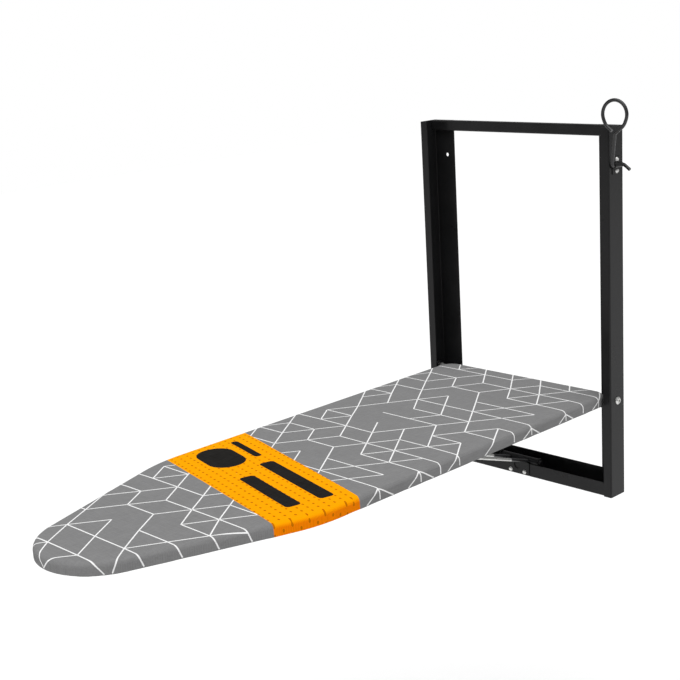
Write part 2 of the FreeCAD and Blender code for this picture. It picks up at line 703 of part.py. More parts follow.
def hinge_arm(label, side):
    """A bent arm: an upright ear on the pivot bolt and a foot that reaches under the board."""
    body = new_body(label)
    start = "arm_outside - arm_steel" if side > 0 else "-arm_outside"
    low = "foot_top_z - arm_steel"
    ear = new_sketch(body, label + "Ear", "YZ_Plane", start)
    outline(ear, [("pivot_y - arm_half", low), ("pivot_y + arm_eye", low),
                  ("pivot_y + arm_eye", "pivot_z + arm_eye"),
                  ("pivot_y - arm_eye", "pivot_z + arm_eye"), ("pivot_y - arm_half", "foot_top_z")])
    pad(body, label + "EarPad", ear, "arm_steel")
    foot = new_sketch(body, label + "Foot", "XY_Plane", low)
    far = f"{side} * (arm_outside - sliver)"
    near_end = f"{side} * arm_inside"
    outline(foot, [(far, "pivot_y - arm_half"), (near_end, "pivot_y - arm_half"),
                   (near_end, "pivot_y + arm_eye"), (far, "pivot_y + arm_eye")])
    pad(body, label + "FootPad", foot, "arm_steel")
    top = size("pivot_z") + size("arm_eye")
    round_edges(body, label + "Eye", "arm_eye - arm_eye_flat",
                lambda edge, mid: along(edge, 0) and near(mid.z, top))
    drill(body, label + "Bore", "YZ_Plane", [("pivot_y", "pivot_z", "bolt_radius + running_gap")])
    drill(body, label + "RivetHole", "XY_Plane",
          [(f"{side} * (arm_inside + {step})", "pivot_y - arm_rivet_place", "arm_rivet")
           for step in ARM_RIVET_STEPS])
    return body


def hinge_crossbar():
    """A channel across the board under its rear end, open towards the panel."""
    body = new_body("hinge_crossbar")
    front = "pivot_y - crossbar_front"
    back = "pivot_y + crossbar_back"
    base = new_sketch(body, "CrossbarSection", "YZ_Plane")
    outline(base, [(front, "foot_top_z"), (back, "foot_top_z"), (back, "plate_low_z"),
                   (f"{back} - frame_steel", "plate_low_z"),
                   (f"{back} - frame_steel", "foot_top_z + frame_steel"),
                   (f"{front} + frame_steel", "foot_top_z + frame_steel"),
                   (f"{front} + frame_steel", "plate_low_z"), (front, "plate_low_z")])
    pad_both(body, "CrossbarPad", base, "2 * crossbar_half")
    drill(body, "CrossbarHoles", "XY_Plane",
          [(f"{side} * (arm_inside + {step})", "pivot_y - arm_rivet_place", "arm_rivet")
           for side in (1, -1) for step in ARM_RIVET_STEPS])
    return body


def arm_rivets():
    """Four rivets that fasten the hinge arms' feet to the crossbar."""
    return group("arm_rivets", [
        rivet(f"ArmRivet{name}{count}", f"{side} * (arm_inside + {step})",
              "pivot_y - arm_rivet_place", "foot_top_z - arm_steel", "z",
              "arm_steel + frame_steel", -1)
        for name, side in (("Right", 1), ("Left", -1))
        for count, step in enumerate(ARM_RIVET_STEPS)])


# ---------------------------------------------------------------- the board
def board_corners(inset):
    """The board's plan as five corners, moved inwards: rear, shoulders and the nose's apex."""
    spread = "sin(taper_angle * 1 deg)"
    slope = "tan(taper_angle * 1 deg)"
    rear = f"pivot_y + board_overhang - ({inset})"
    reach = f"pivot_y - board_reach + ({inset})"
    apex = f"{reach} - (nose_radius - ({inset})) * (1 / {spread} - 1)"
    wide = f"(board_half_rear - ({inset}))"
    narrow = f"(board_half_shoulder - ({inset}))"
    shoulder = f"{apex} + {narrow} / {slope}"
    return [(f"-{wide}", rear), (f"-{narrow}", shoulder), ("0", apex), (narrow, shoulder),
            (wide, rear)]


def board_plate(body, name, inset, low, height):
    """A slab of the board's plan, with its corners, shoulders and nose rounded."""
    sketch = new_sketch(body, name + "Plan", "XY_Plane", low)
    outline(sketch, board_corners(inset))
    pad(body, name + "Slab", sketch, height)
    rear = size("pivot_y") + size("board_overhang")
    shallow = size("pivot_y") - 0.9 * size("board_reach")

    def upright_edge(edge):
        return along(edge, 2)

    round_edges(body, name + "Rear", f"rear_corner - ({inset})",
                lambda edge, mid: upright_edge(edge) and mid.y > rear - 30)
    round_edges(body, name + "Nose", f"nose_radius - ({inset})",
                lambda edge, mid: upright_edge(edge) and abs(mid.x) < 0.01 and mid.y < shallow)
    round_edges(body, name + "Shoulders", f"shoulder_radius - ({inset})",
                lambda edge, mid: upright_edge(edge) and shallow < mid.y < rear - 200
                and abs(mid.x) > size("board_half_shoulder") - 20)
    return body


def shelled(label, outer, inner, cavity_low, cavity_high, mouth=None):
    """A board-shaped slab hollowed from below, with an optional narrower mouth."""
    low, high, inset = outer
    solid = board_plate(new_body(label + "_solid"), label + "Outer", inset, low,
                        f"({high}) - ({low})")
    cavity = board_plate(new_body(label + "_cavity"), label + "Cavity", inner, cavity_low,
                         f"({cavity_high}) - ({cavity_low})")
    hollow = cut(label if mouth is None else label + "_hollow", solid, cavity)
    if mouth is None:
        return hollow
    opening = board_plate(new_body(label + "_mouth"), label + "Mouth", mouth, f"{low} - overrun",
                          f"({cavity_low}) - ({low}) + 2 * overrun")
    return cut(label, hollow, opening)


def board_panel():
    """The sheet-steel tray under the pad, with its rim turned down and rows of vent holes."""
    tray = shelled("tray", ("rim_low_z", "plate_top_z", "cover_thick"),
                   "cover_thick + panel_steel", "rim_low_z - overrun", "plate_low_z")
    vents = new_body("vent_tools")
    sketch = new_sketch(vents, "VentOutline", "XY_Plane", "plate_low_z - overrun")
    circle(sketch, "-(vent_columns - 1) * vent_pitch / 2", "pivot_y - vent_start", "vent_hole / 2")
    first = pad(vents, "VentPin", sketch, "panel_steel + 2 * overrun")
    grid = vents.newObject("PartDesign::MultiTransform", "VentGrid")
    grid.Originals = [first]
    rows = vents.newObject("PartDesign::LinearPattern", "VentRowPattern")
    columns = vents.newObject("PartDesign::LinearPattern", "VentColumnPattern")
    axes = {item.Role: item for item in vents.Origin.OriginFeatures}
    rows.Direction = (axes["Y_Axis"], [""])
    rows.Reversed = True
    rows.setExpression("Length", tied("(vent_rows - 1) * vent_pitch"))
    rows.setExpression("Occurrences", tied("vent_rows"))
    columns.Direction = (axes["X_Axis"], [""])
    columns.setExpression("Length", tied("(vent_columns - 1) * vent_pitch"))
    columns.setExpression("Occurrences", tied("vent_columns"))
    grid.Transformations = [rows, columns]
    vents.Tip = grid
    doc.recompute()
    return cut("board_panel", tray, vents)


def foam_pad():
    """The foam between the panel and the cover."""
    return board_plate(new_body("foam_pad"), "Foam", "cover_thick", "plate_top_z", "pad_thick")


def cover():
    """The cloth cover: top, skirt and a narrow hem under the rim."""
    return shelled("cover", ("cover_low_z", "face_z", "0"), "cover_thick", "rim_low_z",
                   "plate_top_z + pad_thick", "hem_width")


def hem_elastic():
    """The elastic that lies on the hem inside the rim and pulls the cover tight."""
    clear = "cover_thick + panel_steel + soft_gap"
    band = board_plate(new_body("elastic_band"), "Elastic", clear, "rim_low_z", "elastic_thick")
    middle = board_plate(new_body("elastic_middle"), "ElasticMiddle", f"{clear} + elastic_width",
                         "rim_low_z - overrun", "elastic_thick + 2 * overrun")
    return cut("hem_elastic", band, middle)


GUIDE_RIVET_STEPS = ("guide_rivet_first", "guide_rivet_second")


def guide_riser():
    """A rectangular tube that stands the strut guide off the panel."""
    length = "buffer_y"
    body = new_body("guide_riser")
    base = new_sketch(body, "RiserSection", "XZ_Plane", "-guide_y")
    low, high = "track_z + guide_steel", "plate_low_z"
    outline(base, [("-guide_half", low), ("guide_half", low), ("guide_half", high),
                   ("-guide_half", high)])
    pad(body, "RiserPad", base, f"guide_y - {length} + buffer_thick")
    hole = new_sketch(body, "RiserHollow", "XZ_Plane", "-guide_y - overrun")
    outline(hole, [("-guide_half + guide_steel", f"{low} + guide_steel"),
                   ("guide_half - guide_steel", f"{low} + guide_steel"),
                   ("guide_half - guide_steel", f"{high} - guide_steel"),
                   ("-guide_half + guide_steel", f"{high} - guide_steel")])
    pocket(body, "RiserBore", hole, f"guide_y - {length} + buffer_thick + 2 * overrun",
           backwards=True)
    drill(body, "RiserRivetHoles", "XY_Plane",
          [("0", f"guide_y - {step}", "rivet_radius") for step in GUIDE_RIVET_STEPS])
    return body


def strut_guide():
    """The channel that the strut's axle runs in: open below, closed at its outer end."""
    body = new_body("strut_guide")
    low = "axle_z - glide_radius"
    inside = "guide_half - guide_steel"
    base = new_sketch(body, "GuideSection", "XZ_Plane", "-guide_y")
    outline(base, [("guide_half", low), ("guide_half", "track_z + guide_steel"),
                   ("-guide_half", "track_z + guide_steel"), ("-guide_half", low),
                   (f"-({inside})", low), (f"-({inside})", "track_z"), (inside, "track_z"),
                   (inside, low)])
    pad(body, "GuidePad", base, "guide_y - buffer_y + buffer_thick")
    wall = new_sketch(body, "GuideEnd", "XZ_Plane", "-buffer_y + buffer_thick")
    outline(wall, [("guide_half", low), ("guide_half", "track_z + guide_steel"),
                   ("-guide_half", "track_z + guide_steel"), ("-guide_half", low)])
    pad(body, "GuideEndPad", wall, "guide_steel")
    drill(body, "GuideRivetHoles", "XY_Plane",
          [("0", f"guide_y - {step}", "rivet_radius") for step in GUIDE_RIVET_STEPS])
    return body


def guide_rivets():
    """Two rivets that hold the guide to its riser."""
    return group("guide_rivets", [
        rivet(f"GuideRivet{count}", "0", f"guide_y - {step}", "track_z", "z", "2 * guide_steel", -1)
        for count, step in enumerate(GUIDE_RIVET_STEPS)])


def stop_buffer():
    """The rubber block at the guide's outer end that the axle stops against."""
    width = "2 * (guide_half - guide_steel)"
    buffer = block("stop_buffer", width, "buffer_thick", "2 * glide_radius",
                   "-guide_half + guide_steel", "buffer_y - buffer_thick", "axle_z - glide_radius")
    buffer.Label = "stop_buffer"
    doc.recompute()
    return buffer


# ---------------------------------------------------------------- the strut
def foot_tube():
    """The tube at the strut's foot that turns on the pin."""
    outer = rod("FootOuter", "foot_radius", "2 * foot_half", "-foot_half", "foot_y", "foot_z", "x")
    bore = rod("FootBore", "pin_radius + running_gap", "2 * foot_half + 2 * overrun",
               "-foot_half - overrun", "foot_y", "foot_z", "x")
    return cut("foot_tube", outer, bore)


def strut_rod(label, side):
    """One round rod from the foot tube up to the top axle, both ends shaped to what they meet."""
    length = "(axle_z - foot_z) / sin(strut_slope * 1 deg)"
    shaft = doc.addObject("Part::Cylinder", label + "Shaft")
    shaft.setExpression("Radius", tied("rod_radius"))
    shaft.setExpression("Height", tied(length))
    shaft.Placement = FreeCAD.Placement(FreeCAD.Vector(),
                                        FreeCAD.Rotation(FreeCAD.Vector(1, 0, 0), 90))
    shaft.setExpression("Placement.Rotation.Angle", tied("90 - strut_slope"))
    for letter, expression in (("x", f"{side} * rod_place"), ("y", "foot_y"), ("z", "foot_z")):
        shaft.setExpression(f"Placement.Base.{letter}", tied(expression))
    wide, low = "4 * rod_radius", f"{side} * rod_place - 2 * rod_radius"
    foot = rod(label + "Foot", "foot_radius", wide, low, "foot_y", "foot_z", "x")
    axle = rod(label + "Axle", "axle_radius", wide, low, "axle_y", "axle_z", "x")
    trimmed = cut(label + "Trimmed", shaft, foot)
    result = cut(label + "Ends", trimmed, axle)
    longest = max(result.Shape.Solids, key=lambda solid: solid.Volume)
    item = doc.addObject("Part::Feature", label)
    item.Shape = longest
    item.Label = label
    return item


def top_axle():
    """The cross axle that joins the two rods and carries the glides."""
    half = "guide_half - guide_steel - soft_gap"
    axle = rod("top_axle", "axle_radius", f"2 * ({half})", f"-({half})", "axle_y", "axle_z", "x")
    axle.Label = "top_axle"
    return axle


def glide(label, side):
    """A nylon glide on one end of the top axle."""
    outside = "(guide_half - guide_steel - soft_gap)"
    low = f"{outside} - glide_width" if side > 0 else f"-{outside}"
    disc = rod(label + "Disc", "glide_radius", "glide_width", low, "axle_y", "axle_z", "x")
    bore = rod(label + "Bore", "axle_radius", "glide_width + 2 * overrun", f"{low} - overrun",
               "axle_y", "axle_z", "x")
    return cut(label, disc, bore)


# ---------------------------------------------------------------- build, check and write
def build():
    """Every sub-part, in the order that it would be put together."""
    fill_sheet()
    pieces = [upright("left_upright", -1), upright("right_upright", 1), top_bar(), bottom_bar(),
              strut_bracket(), bracket_rivets(), pivot_cradle(), strut_pin(), pin_clip(),
              cord_clip(), clip_rivets(), cord_holder()]
    for name, side in (("left", -1), ("right", 1)):
        pieces += [pivot_bolt(f"pivot_bolt_{name}", side), pivot_spacer(f"pivot_spacer_{name}", side),
                   pivot_nut(f"pivot_nut_{name}", side), hinge_arm(f"hinge_arm_{name}", side)]
    pieces += [hinge_crossbar(), arm_rivets(), board_panel(), foam_pad(), cover(), hem_elastic(),
               guide_riser(), strut_guide(), guide_rivets(), stop_buffer(), foot_tube(),
               top_axle()]
    for name, side in (("left", -1), ("right", 1)):
        pieces += [strut_rod(f"strut_rod_{name}", side), glide(f"glide_{name}", side)]
    doc.recompute()
    return pieces


def check(pieces):
    """Stop on any failed object and on any sub-part that is empty or not valid."""
    for item in doc.Objects:
        if {"Invalid", "Error"} & set(item.State):
            raise RuntimeError(f"{item.Label} failed: {item.State}")
    for item in pieces:
        if item.Shape.isNull() or not item.Shape.isValid() or not item.Shape.Solids:
            raise RuntimeError(f"{item.Label} is empty or not valid")


def write(pieces):
    os.makedirs("parts", exist_ok=True)
    for item in pieces:
        item.Shape.exportStep(f"parts/{item.Label}.step")
        box = item.Shape.BoundBox
        print(f"{item.Label:22s} {len(item.Shape.Solids)} solid(s) {item.Shape.Volume:10.0f} mm3  "
              f"X {box.XMin:7.1f} {box.XMax:7.1f}  Y {box.YMin:8.1f} {box.YMax:7.1f}  "
              f"Z {box.ZMin:7.1f} {box.ZMax:7.1f}")
    rise = size("axle_z") - size("foot_z")
    length = rise / math.sin(math.radians(size("strut_slope")))
    folded_rise = size("axle_drop") - size("foot_depth") + size("pivot_depth")
    folded = math.degrees(math.acos(folded_rise / length))
    print("strut length", round(length, 2), "swing", round(folded - size("strut_slope"), 3),
          "pivot", size("pivot_y"), size("pivot_z"), "foot", size("foot_y"), size("foot_z"),
          "axle", round(size("axle_y"), 3), size("axle_z"), "holder", size("holder_x"), size("holder_z"))


sub_parts = build()
check(sub_parts)
write(sub_parts)
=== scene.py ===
"""Wall-mounted folding ironing board: finishes, foam pad, cloth cover, print and hem.

Metres.  +X is right, +Y points into the wall, +Z is up, and the origin lies on the wall plane
at the centre of the four wall screws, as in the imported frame.
"""
import bmesh
import bpy
import json
import math
import numpy as np
from mathutils import Matrix, Vector


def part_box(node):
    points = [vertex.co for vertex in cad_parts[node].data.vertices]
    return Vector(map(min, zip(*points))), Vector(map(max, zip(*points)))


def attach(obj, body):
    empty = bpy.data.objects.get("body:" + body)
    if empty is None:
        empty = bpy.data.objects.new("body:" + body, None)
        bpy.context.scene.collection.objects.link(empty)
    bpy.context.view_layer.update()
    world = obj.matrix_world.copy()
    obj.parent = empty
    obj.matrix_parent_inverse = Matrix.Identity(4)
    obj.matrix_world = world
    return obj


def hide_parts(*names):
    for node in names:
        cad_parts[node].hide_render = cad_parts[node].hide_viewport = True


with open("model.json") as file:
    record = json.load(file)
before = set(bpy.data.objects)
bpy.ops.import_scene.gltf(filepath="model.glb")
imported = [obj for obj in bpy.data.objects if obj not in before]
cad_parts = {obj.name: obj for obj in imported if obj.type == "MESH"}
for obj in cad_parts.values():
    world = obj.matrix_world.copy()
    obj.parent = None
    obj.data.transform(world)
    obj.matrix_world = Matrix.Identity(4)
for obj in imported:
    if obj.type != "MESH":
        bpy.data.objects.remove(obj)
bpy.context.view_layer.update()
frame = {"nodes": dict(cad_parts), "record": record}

# ---------------------------------------------------------------- sizes
MM = 0.001
cover_low, cover_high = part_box("cover")
HALF_REAR = cover_high.x
REAR_Y = cover_high.y
TIP_Y = cover_low.y
TOP_Z = cover_high.z
LOW_Z = cover_low.z
HALF_SHOULDER = 178 * MM    # half width where the straight taper to the nose would start
TAPER = math.radians(19.4)  # angle of each tapered side to the board's middle line
NOSE_RADIUS = 95 * MM
SHOULDER_RADIUS = 250 * MM
REAR_RADIUS = 28 * MM

EDGE_ROLL = 8 * MM          # radius of the cover's rolled top edge
HEM_ROLL = 1.5 * MM         # radius where the skirt turns under
HEM_RUN = 6.5 * MM          # flat hem under the rim
CLOTH = 0.8 * MM            # thickness of the cloth
CROWN = 0.9 * MM            # edge of the ironing face below its highest point
SPINE_END = 60 * MM         # the spine that the top's rows start from stops this far from the rear
ROW_EASE = 1.6              # how much the top's rows crowd towards the edge
EDGE_Z = TOP_Z - CROWN      # height of the ironing face where its edge starts to roll over
SKIRT_SHARE = 0.93          # drop of the straight skirt over its length; the hem ends 0.2 mm low
SKIRT_DROP = TOP_Z - LOW_Z - EDGE_ROLL - HEM_ROLL
EDGE_END = EDGE_ROLL * math.pi / 2
SKIRT_END = EDGE_END + SKIRT_DROP
HEM_START = SKIRT_END + HEM_ROLL * math.pi / 2
HEM_END = HEM_START + HEM_RUN

# Printed lattice: rows across the board, and columns half a cell apart.
ROW_START = -49.8 * MM
ROW_STEP = 43.5 * MM
COLUMN_START = -179.8 * MM
COLUMN_STEP = 29.4 * MM
LINE_WIDTH = 2.1 * MM
LINE_LIFT = 0.12 * MM       # printed lines above the cloth
MARK_LIFT = 0.2 * MM        # printed marks above the cloth
MARK_SLANT = math.radians(-13.6)
PRINT_ASIDE = 1.5 * MM      # the whole lattice sits this far to the right
ROWS_DRAWN = range(-2, 22)
BAND_MARGIN = 3 * MM        # gap between the lines and the band
DIP_EDGE = -83 * MM         # the strut wires are black from here to the wall

# Orange band: its rear and front edges as y = start + slope * x.
BAND_REAR = (-566.4 * MM, -0.2607)
BAND_FRONT = (-718.8 * MM, -0.2255)
# The second colour is a darker copy of the band's orange: painted shade for the band where it runs down
# the skirt.
BAND_FACE, BAND_SKIRT_PAINTED_SHADE = (0.97, 0.365, 0.0), (0.92, 0.215, 0.0)
BAND_FADED, BAND_DOT = (0.86, 0.285, 0.0), (0.52, 0.15, 0.0)
DOT_PITCH = 13.0 * MM
DOT_TURN = math.radians(13.5)
DOT_RADIUS = 0.125          # half a dot's size along the board, in pitches
DOT_FLATNESS = 0.62         # a dot's size along the board over its size across it


# ---------------------------------------------------------------- mesh building
def mesh_piece(name, points, faces, body, material, merge=0.0):
    """A mesh object at the origin from an array of points and an array of faces."""
    mesh = bpy.data.meshes.new(name)
    mesh.from_pydata(np.asarray(points, float).tolist(), [], np.asarray(faces).tolist())
    if merge > 0:
        work = bmesh.new()
        work.from_mesh(mesh)
        bmesh.ops.remove_doubles(work, verts=work.verts, dist=merge)
        work.to_mesh(mesh)
        work.free()
    mesh.polygons.foreach_set("use_smooth", [True] * len(mesh.polygons))
    mesh.materials.append(material)
    mesh.update()
    piece = bpy.data.objects.new(name, mesh)
    bpy.context.scene.collection.objects.link(piece)
    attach(piece, body)
    return piece


def grid_faces(rows, columns, wrap_rows=False, wrap_columns=False):
    """Quads between neighbours of a rows x columns grid numbered row by row."""
    down = np.arange(rows if wrap_rows else rows - 1)[:, None]
    across = np.arange(columns if wrap_columns else columns - 1)[None, :]
    next_down = (down + 1) % rows
    next_across = (across + 1) % columns
    corners = [down * columns + across, down * columns + next_across,
               next_down * columns + next_across, next_down * columns + across]
    return np.stack(corners, axis=-1).reshape(-1, 4)


# ---------------------------------------------------------------- the board's plan
def plan_loop(count):
    """The board's plan as a loop of evenly spaced points, walked from the middle of the rear.

    Five corners are joined by straight sides, and each corner is an arc tangent to both of its
    sides: its points are centre + radius (cos t, sin t).  np.interp then spaces the loop evenly
    by the distance walked along it.
    """
    apex = TIP_Y - NOSE_RADIUS * (1 / math.sin(TAPER) - 1)
    shoulder = apex + HALF_SHOULDER / math.tan(TAPER)
    corners = np.array([(-HALF_REAR, REAR_Y), (-HALF_SHOULDER, shoulder), (0, apex),
                        (HALF_SHOULDER, shoulder), (HALF_REAR, REAR_Y)])
    radii = (REAR_RADIUS, SHOULDER_RADIUS, NOSE_RADIUS, SHOULDER_RADIUS, REAR_RADIUS)
    runs = [np.array([(0, REAR_Y)])]
    for k, radius in enumerate(radii):
        into = corners[k] - corners[k - 1]
        away = corners[(k + 1) % 5] - corners[k]
        heading = math.atan2(into[1], into[0])
        bend = (math.atan2(away[1], away[0]) - heading) % (2 * math.pi)
        ahead = np.array([math.cos(heading), math.sin(heading)])
        left = np.array([-ahead[1], ahead[0]])
        centre = corners[k] - radius * math.tan(bend / 2) * ahead + radius * left
        turn = heading - math.pi / 2 + np.linspace(0, bend, 90)
        runs.append(centre + radius * np.stack([np.cos(turn), np.sin(turn)], axis=-1))
    runs.append(np.array([(0, REAR_Y)]))
    loop = np.concatenate(runs)
    walked = np.concatenate([[0], np.cumsum(np.linalg.norm(np.diff(loop, axis=0), axis=1))])
    even = np.linspace(0, walked[-1], count, endpoint=False)
    even_loop = np.stack([np.interp(even, walked, loop[:, 0]), np.interp(even, walked, loop[:, 1])],
                         axis=-1)
    return even_loop, even


def outward(loop):
    """Unit vectors that point out of an anticlockwise loop: the tangent turned by a quarter."""
    tangent = np.roll(loop, -1, axis=0) - np.roll(loop, 1, axis=0)
    tangent /= np.linalg.norm(tangent, axis=1, keepdims=True)
    return np.stack([tangent[:, 1], -tangent[:, 0]], axis=-1)


DENSE = 2400                # points on the densest loop
FULL_BEND = 9.0             # curvature that counts as a full bend, a metre
outer_loop, outer_walk = plan_loop(DENSE)
outer_normal = outward(outer_loop)
roll_loop = outer_loop - EDGE_ROLL * outer_normal
LOOP_LENGTH = outer_walk[-1] + outer_walk[1]


def curviness():
    """How strongly the plan bends at each point, from 0 on straight sides up to 1 on the nose.

    It is the curvature over FULL_BEND, smoothed along the loop.
    """
    bend = np.linalg.norm(np.roll(outer_normal, -6, axis=0) - np.roll(outer_normal, 6, axis=0), axis=1)
    tight = np.clip(bend / (12 * outer_walk[1]) / FULL_BEND, 0, 1)
    window = np.hanning(81)
    padded = np.concatenate([tight[-40:], tight, tight[:40]])
    return np.convolve(padded, window / window.sum(), mode="valid")


loop_curve = curviness()


def loop_phase(walk, waves):
    """Angle of a wave that fits a whole number of times round the plan's loop."""
    return 2 * math.pi * walk / (LOOP_LENGTH / waves)


def cloth_wave(walk, curve, past):
    """How far the skirt's cloth stands out: gathers where the plan bends, slack waves elsewhere.

    wave = ramp(past) (0.35 mm under(past) curve sin(190 t + drift) + 0.15 mm sin(29 t + drift)),
    where t goes from 0 to 2 pi round the loop, drift is a slow wave of its own and under(past)
    grows to 1 across the hem under the rim.
    """
    ramp = np.clip(past / SKIRT_END, 0, 1) ** 1.5
    under = np.clip((past - SKIRT_END) / (HEM_END - SKIRT_END), 0, 1)
    drift = 1.7 * np.sin(loop_phase(walk, 19))
    gathers = 0.35 * MM * under * curve * np.sin(loop_phase(walk, 190) + drift)
    slack = 0.15 * MM * np.sin(loop_phase(walk, 29) + drift)
    return ramp * (gathers + slack)


def top_height(x, y, inward):
    """Height of the ironing face: a soft pad that falls a little towards its rolled edge.

    z = edge + 0.7 mm (1 - exp(-inward / 14 mm)) + 0.2 mm waves (1 - exp(-inward / 25 mm)), where
    waves is a product of two slow crossed sines.
    """
    fall = 0.7 * MM * (np.exp(-inward / (14 * MM)) - 1)
    waves = np.sin(x / (31 * MM) + 1.3 * np.sin(y / (83 * MM))) * np.sin(y / (47 * MM) + 0.4)
    return EDGE_Z - fall + 0.2 * MM * waves * (1 - np.exp(-inward / (25 * MM)))


def past_edge(base, normal, walk, curve, past, lift):
    """Cloth a distance `past` beyond the start of the rolled edge.

    The section is a quarter circle, a straight skirt, a smaller quarter circle and a flat hem:
    out = R sin a - r (1 - cos b) - h + stand sin(a + b) and
    drop = R (1 - cos a) + SKIRT_SHARE s + r sin b - stand cos(a + b), where a, s, b and h each use
    up their share of the distance in turn and stand is the lift plus the cloth's own wave.
    """
    a = np.clip(past, 0, EDGE_END) / EDGE_ROLL
    straight = np.clip(past - EDGE_END, 0, SKIRT_DROP)
    b = np.clip(past - SKIRT_END, 0, HEM_START - SKIRT_END) / HEM_ROLL
    hem = np.clip(past - HEM_START, 0, HEM_RUN)
    stand = lift + cloth_wave(walk, curve, past)
    out = EDGE_ROLL * np.sin(a) - HEM_ROLL * (1 - np.cos(b)) - hem + stand * np.sin(a + b)
    drop = (EDGE_ROLL * (1 - np.cos(a)) + straight * SKIRT_SHARE + HEM_ROLL * np.sin(b)
            - stand * np.cos(a + b))
    height = EDGE_Z - drop
    return np.concatenate([base + normal * out[..., None], height[..., None]], axis=-1)


def inward_distance(flat):
    """Distance from points inside the plan to the line where the edge starts to roll over."""
    edge = roll_loop[::4]
    gap = flat[:, None, :] - edge[None, :, :]
    return np.sqrt((gap ** 2).sum(axis=-1).min(axis=1))


def cloth_point(flat, lift):
    """Where a point of the flat cloth lies on the board, and how far it is past the rolled edge.

    Inside the plan it keeps its x and y.  Beyond it, the cloth is folded about the nearest
    point of the edge and runs down the skirt.
    """
    gap = flat[:, None, :] - roll_loop[None, :, :]
    nearest = np.argmin((gap ** 2).sum(axis=-1), axis=1)
    base, normal = roll_loop[nearest], outer_normal[nearest]
    tangent = np.stack([-normal[:, 1], normal[:, 0]], axis=-1)
    offset = flat - base
    slide = np.clip((offset * tangent).sum(axis=-1), -2 * MM, 2 * MM)
    past = (offset * normal).sum(axis=-1)
    folded = past_edge(base + tangent * slide[:, None], normal, outer_walk[nearest],
                       loop_curve[nearest], np.clip(past, 0, SKIRT_END), lift)
    level = np.column_stack([flat, top_height(flat[:, 0], flat[:, 1], inward_distance(flat)) + lift])
    return np.where(past[:, None] > 0, folded, level), past


# ---------------------------------------------------------------- finishes
def finish(name, roughness=0.5, metallic=0.0, coat=0.0, sheen=0.0, specular=0.5):
    """A new material, and its node tree and shader."""
    material = bpy.data.materials.new(name)
    material.use_nodes = True
    tree = material.node_tree
    shader = tree.nodes["Principled BSDF"]
    for socket, value in (("Roughness", roughness), ("Metallic", metallic), ("Coat Weight", coat),
                          ("Sheen Weight", sheen), ("Specular IOR Level", specular)):
        shader.inputs[socket].default_value = value
    return material, tree, shader


def object_place(tree, scale=(1, 1, 1), turn=(0, 0, 0)):
    """Object coordinates, stretched and turned by a Mapping node."""
    source = tree.nodes.new("ShaderNodeTexCoord")
    mapping = tree.nodes.new("ShaderNodeMapping")
    mapping.inputs["Scale"].default_value = scale
    mapping.inputs["Rotation"].default_value = turn
    tree.links.new(source.outputs["Object"], mapping.inputs["Vector"])
    return mapping.outputs["Vector"]


def noise(tree, place, scale, detail=3.0, rough=0.55):
    """A noise pattern read at a place; scale is its number of cells in one unit of the place."""
    node = tree.nodes.new("ShaderNodeTexNoise")
    node.inputs["Scale"].default_value = scale
    node.inputs["Detail"].default_value = detail
    node.inputs["Roughness"].default_value = rough
    tree.links.new(place, node.inputs["Vector"])
    return node.outputs["Fac"]


def calc(tree, operation, first, second=0.0, third=0.0):
    """One Math node; each input is a number or another node's output."""
    node = tree.nodes.new("ShaderNodeMath")
    node.operation = operation
    for slot, value in zip(node.inputs, (first, second, third)):
        if isinstance(value, (int, float)):
            slot.default_value = value
        else:
            tree.links.new(value, slot)
    return node.outputs["Value"]


def spread(tree, fac, low, high, from_low=0.3, from_high=0.7):
    """A number that runs from low to high as a pattern runs over its own range."""
    node = tree.nodes.new("ShaderNodeMapRange")
    for socket, value in (("From Min", from_low), ("From Max", from_high), ("To Min", low),
                          ("To Max", high)):
        node.inputs[socket].default_value = value
    tree.links.new(fac, node.inputs["Value"])
    return node.outputs["Result"]


def blend_colour(tree, fac, low, high):
    """A mix of two colours, each a plain colour or another node's output."""
    node = tree.nodes.new("ShaderNodeMix")
    node.data_type = "RGBA"
    tree.links.new(fac, node.inputs["Factor"])
    for slot, value in ((node.inputs[6], low), (node.inputs[7], high)):
        if isinstance(value, tuple):
            slot.default_value = (*value, 1.0)
        else:
            tree.links.new(value, slot)
    return node.outputs[2]


def relief(tree, shader, height, strength, distance):
    """Tilt a shader's normal by a height pattern; distance is the pattern's full height."""
    node = tree.nodes.new("ShaderNodeBump")
    node.inputs["Strength"].default_value = strength
    node.inputs["Distance"].default_value = distance
    tree.links.new(height, node.inputs["Height"])
    tree.links.new(node.outputs["Normal"], shader.inputs["Normal"])


def powder_coat():
    """Gloss black powder coat: faint orange peel, cloudy gloss and a few dusty specks."""
    material, tree, shader = finish("gloss_black_powder_coat", coat=0.07, specular=0.16)
    shader.inputs["Coat Roughness"].default_value = 0.12
    place = object_place(tree)
    cloud = noise(tree, place, 14)
    peel = noise(tree, place, 620, 2.0)
    dust = spread(tree, noise(tree, place, 2300, 2.0), 0.0, 1.0, 0.66, 0.74)
    black = blend_colour(tree, spread(tree, cloud, 0, 1), (0.0085, 0.0085, 0.009),
                         (0.0130, 0.0130, 0.0135))
    tree.links.new(blend_colour(tree, dust, black, (0.03, 0.03, 0.03)), shader.inputs["Base Color"])
    tree.links.new(spread(tree, cloud, 0.26, 0.38), shader.inputs["Roughness"])
    relief(tree, shader, peel, 0.12, 0.0002)
    return material


def coated_wire():
    """Satin black dipped coating, a little uneven along the wire."""
    material, tree, shader = finish("satin_black_wire_coat", coat=0.1)
    place = object_place(tree)
    cloud = noise(tree, place, 60)
    tree.links.new(blend_colour(tree, cloud, (0.006, 0.006, 0.007), (0.016, 0.016, 0.017)),
                   shader.inputs["Base Color"])
    tree.links.new(spread(tree, cloud, 0.32, 0.46), shader.inputs["Roughness"])
    relief(tree, shader, noise(tree, place, 900, 2.0), 0.15, 0.0002)
    return material


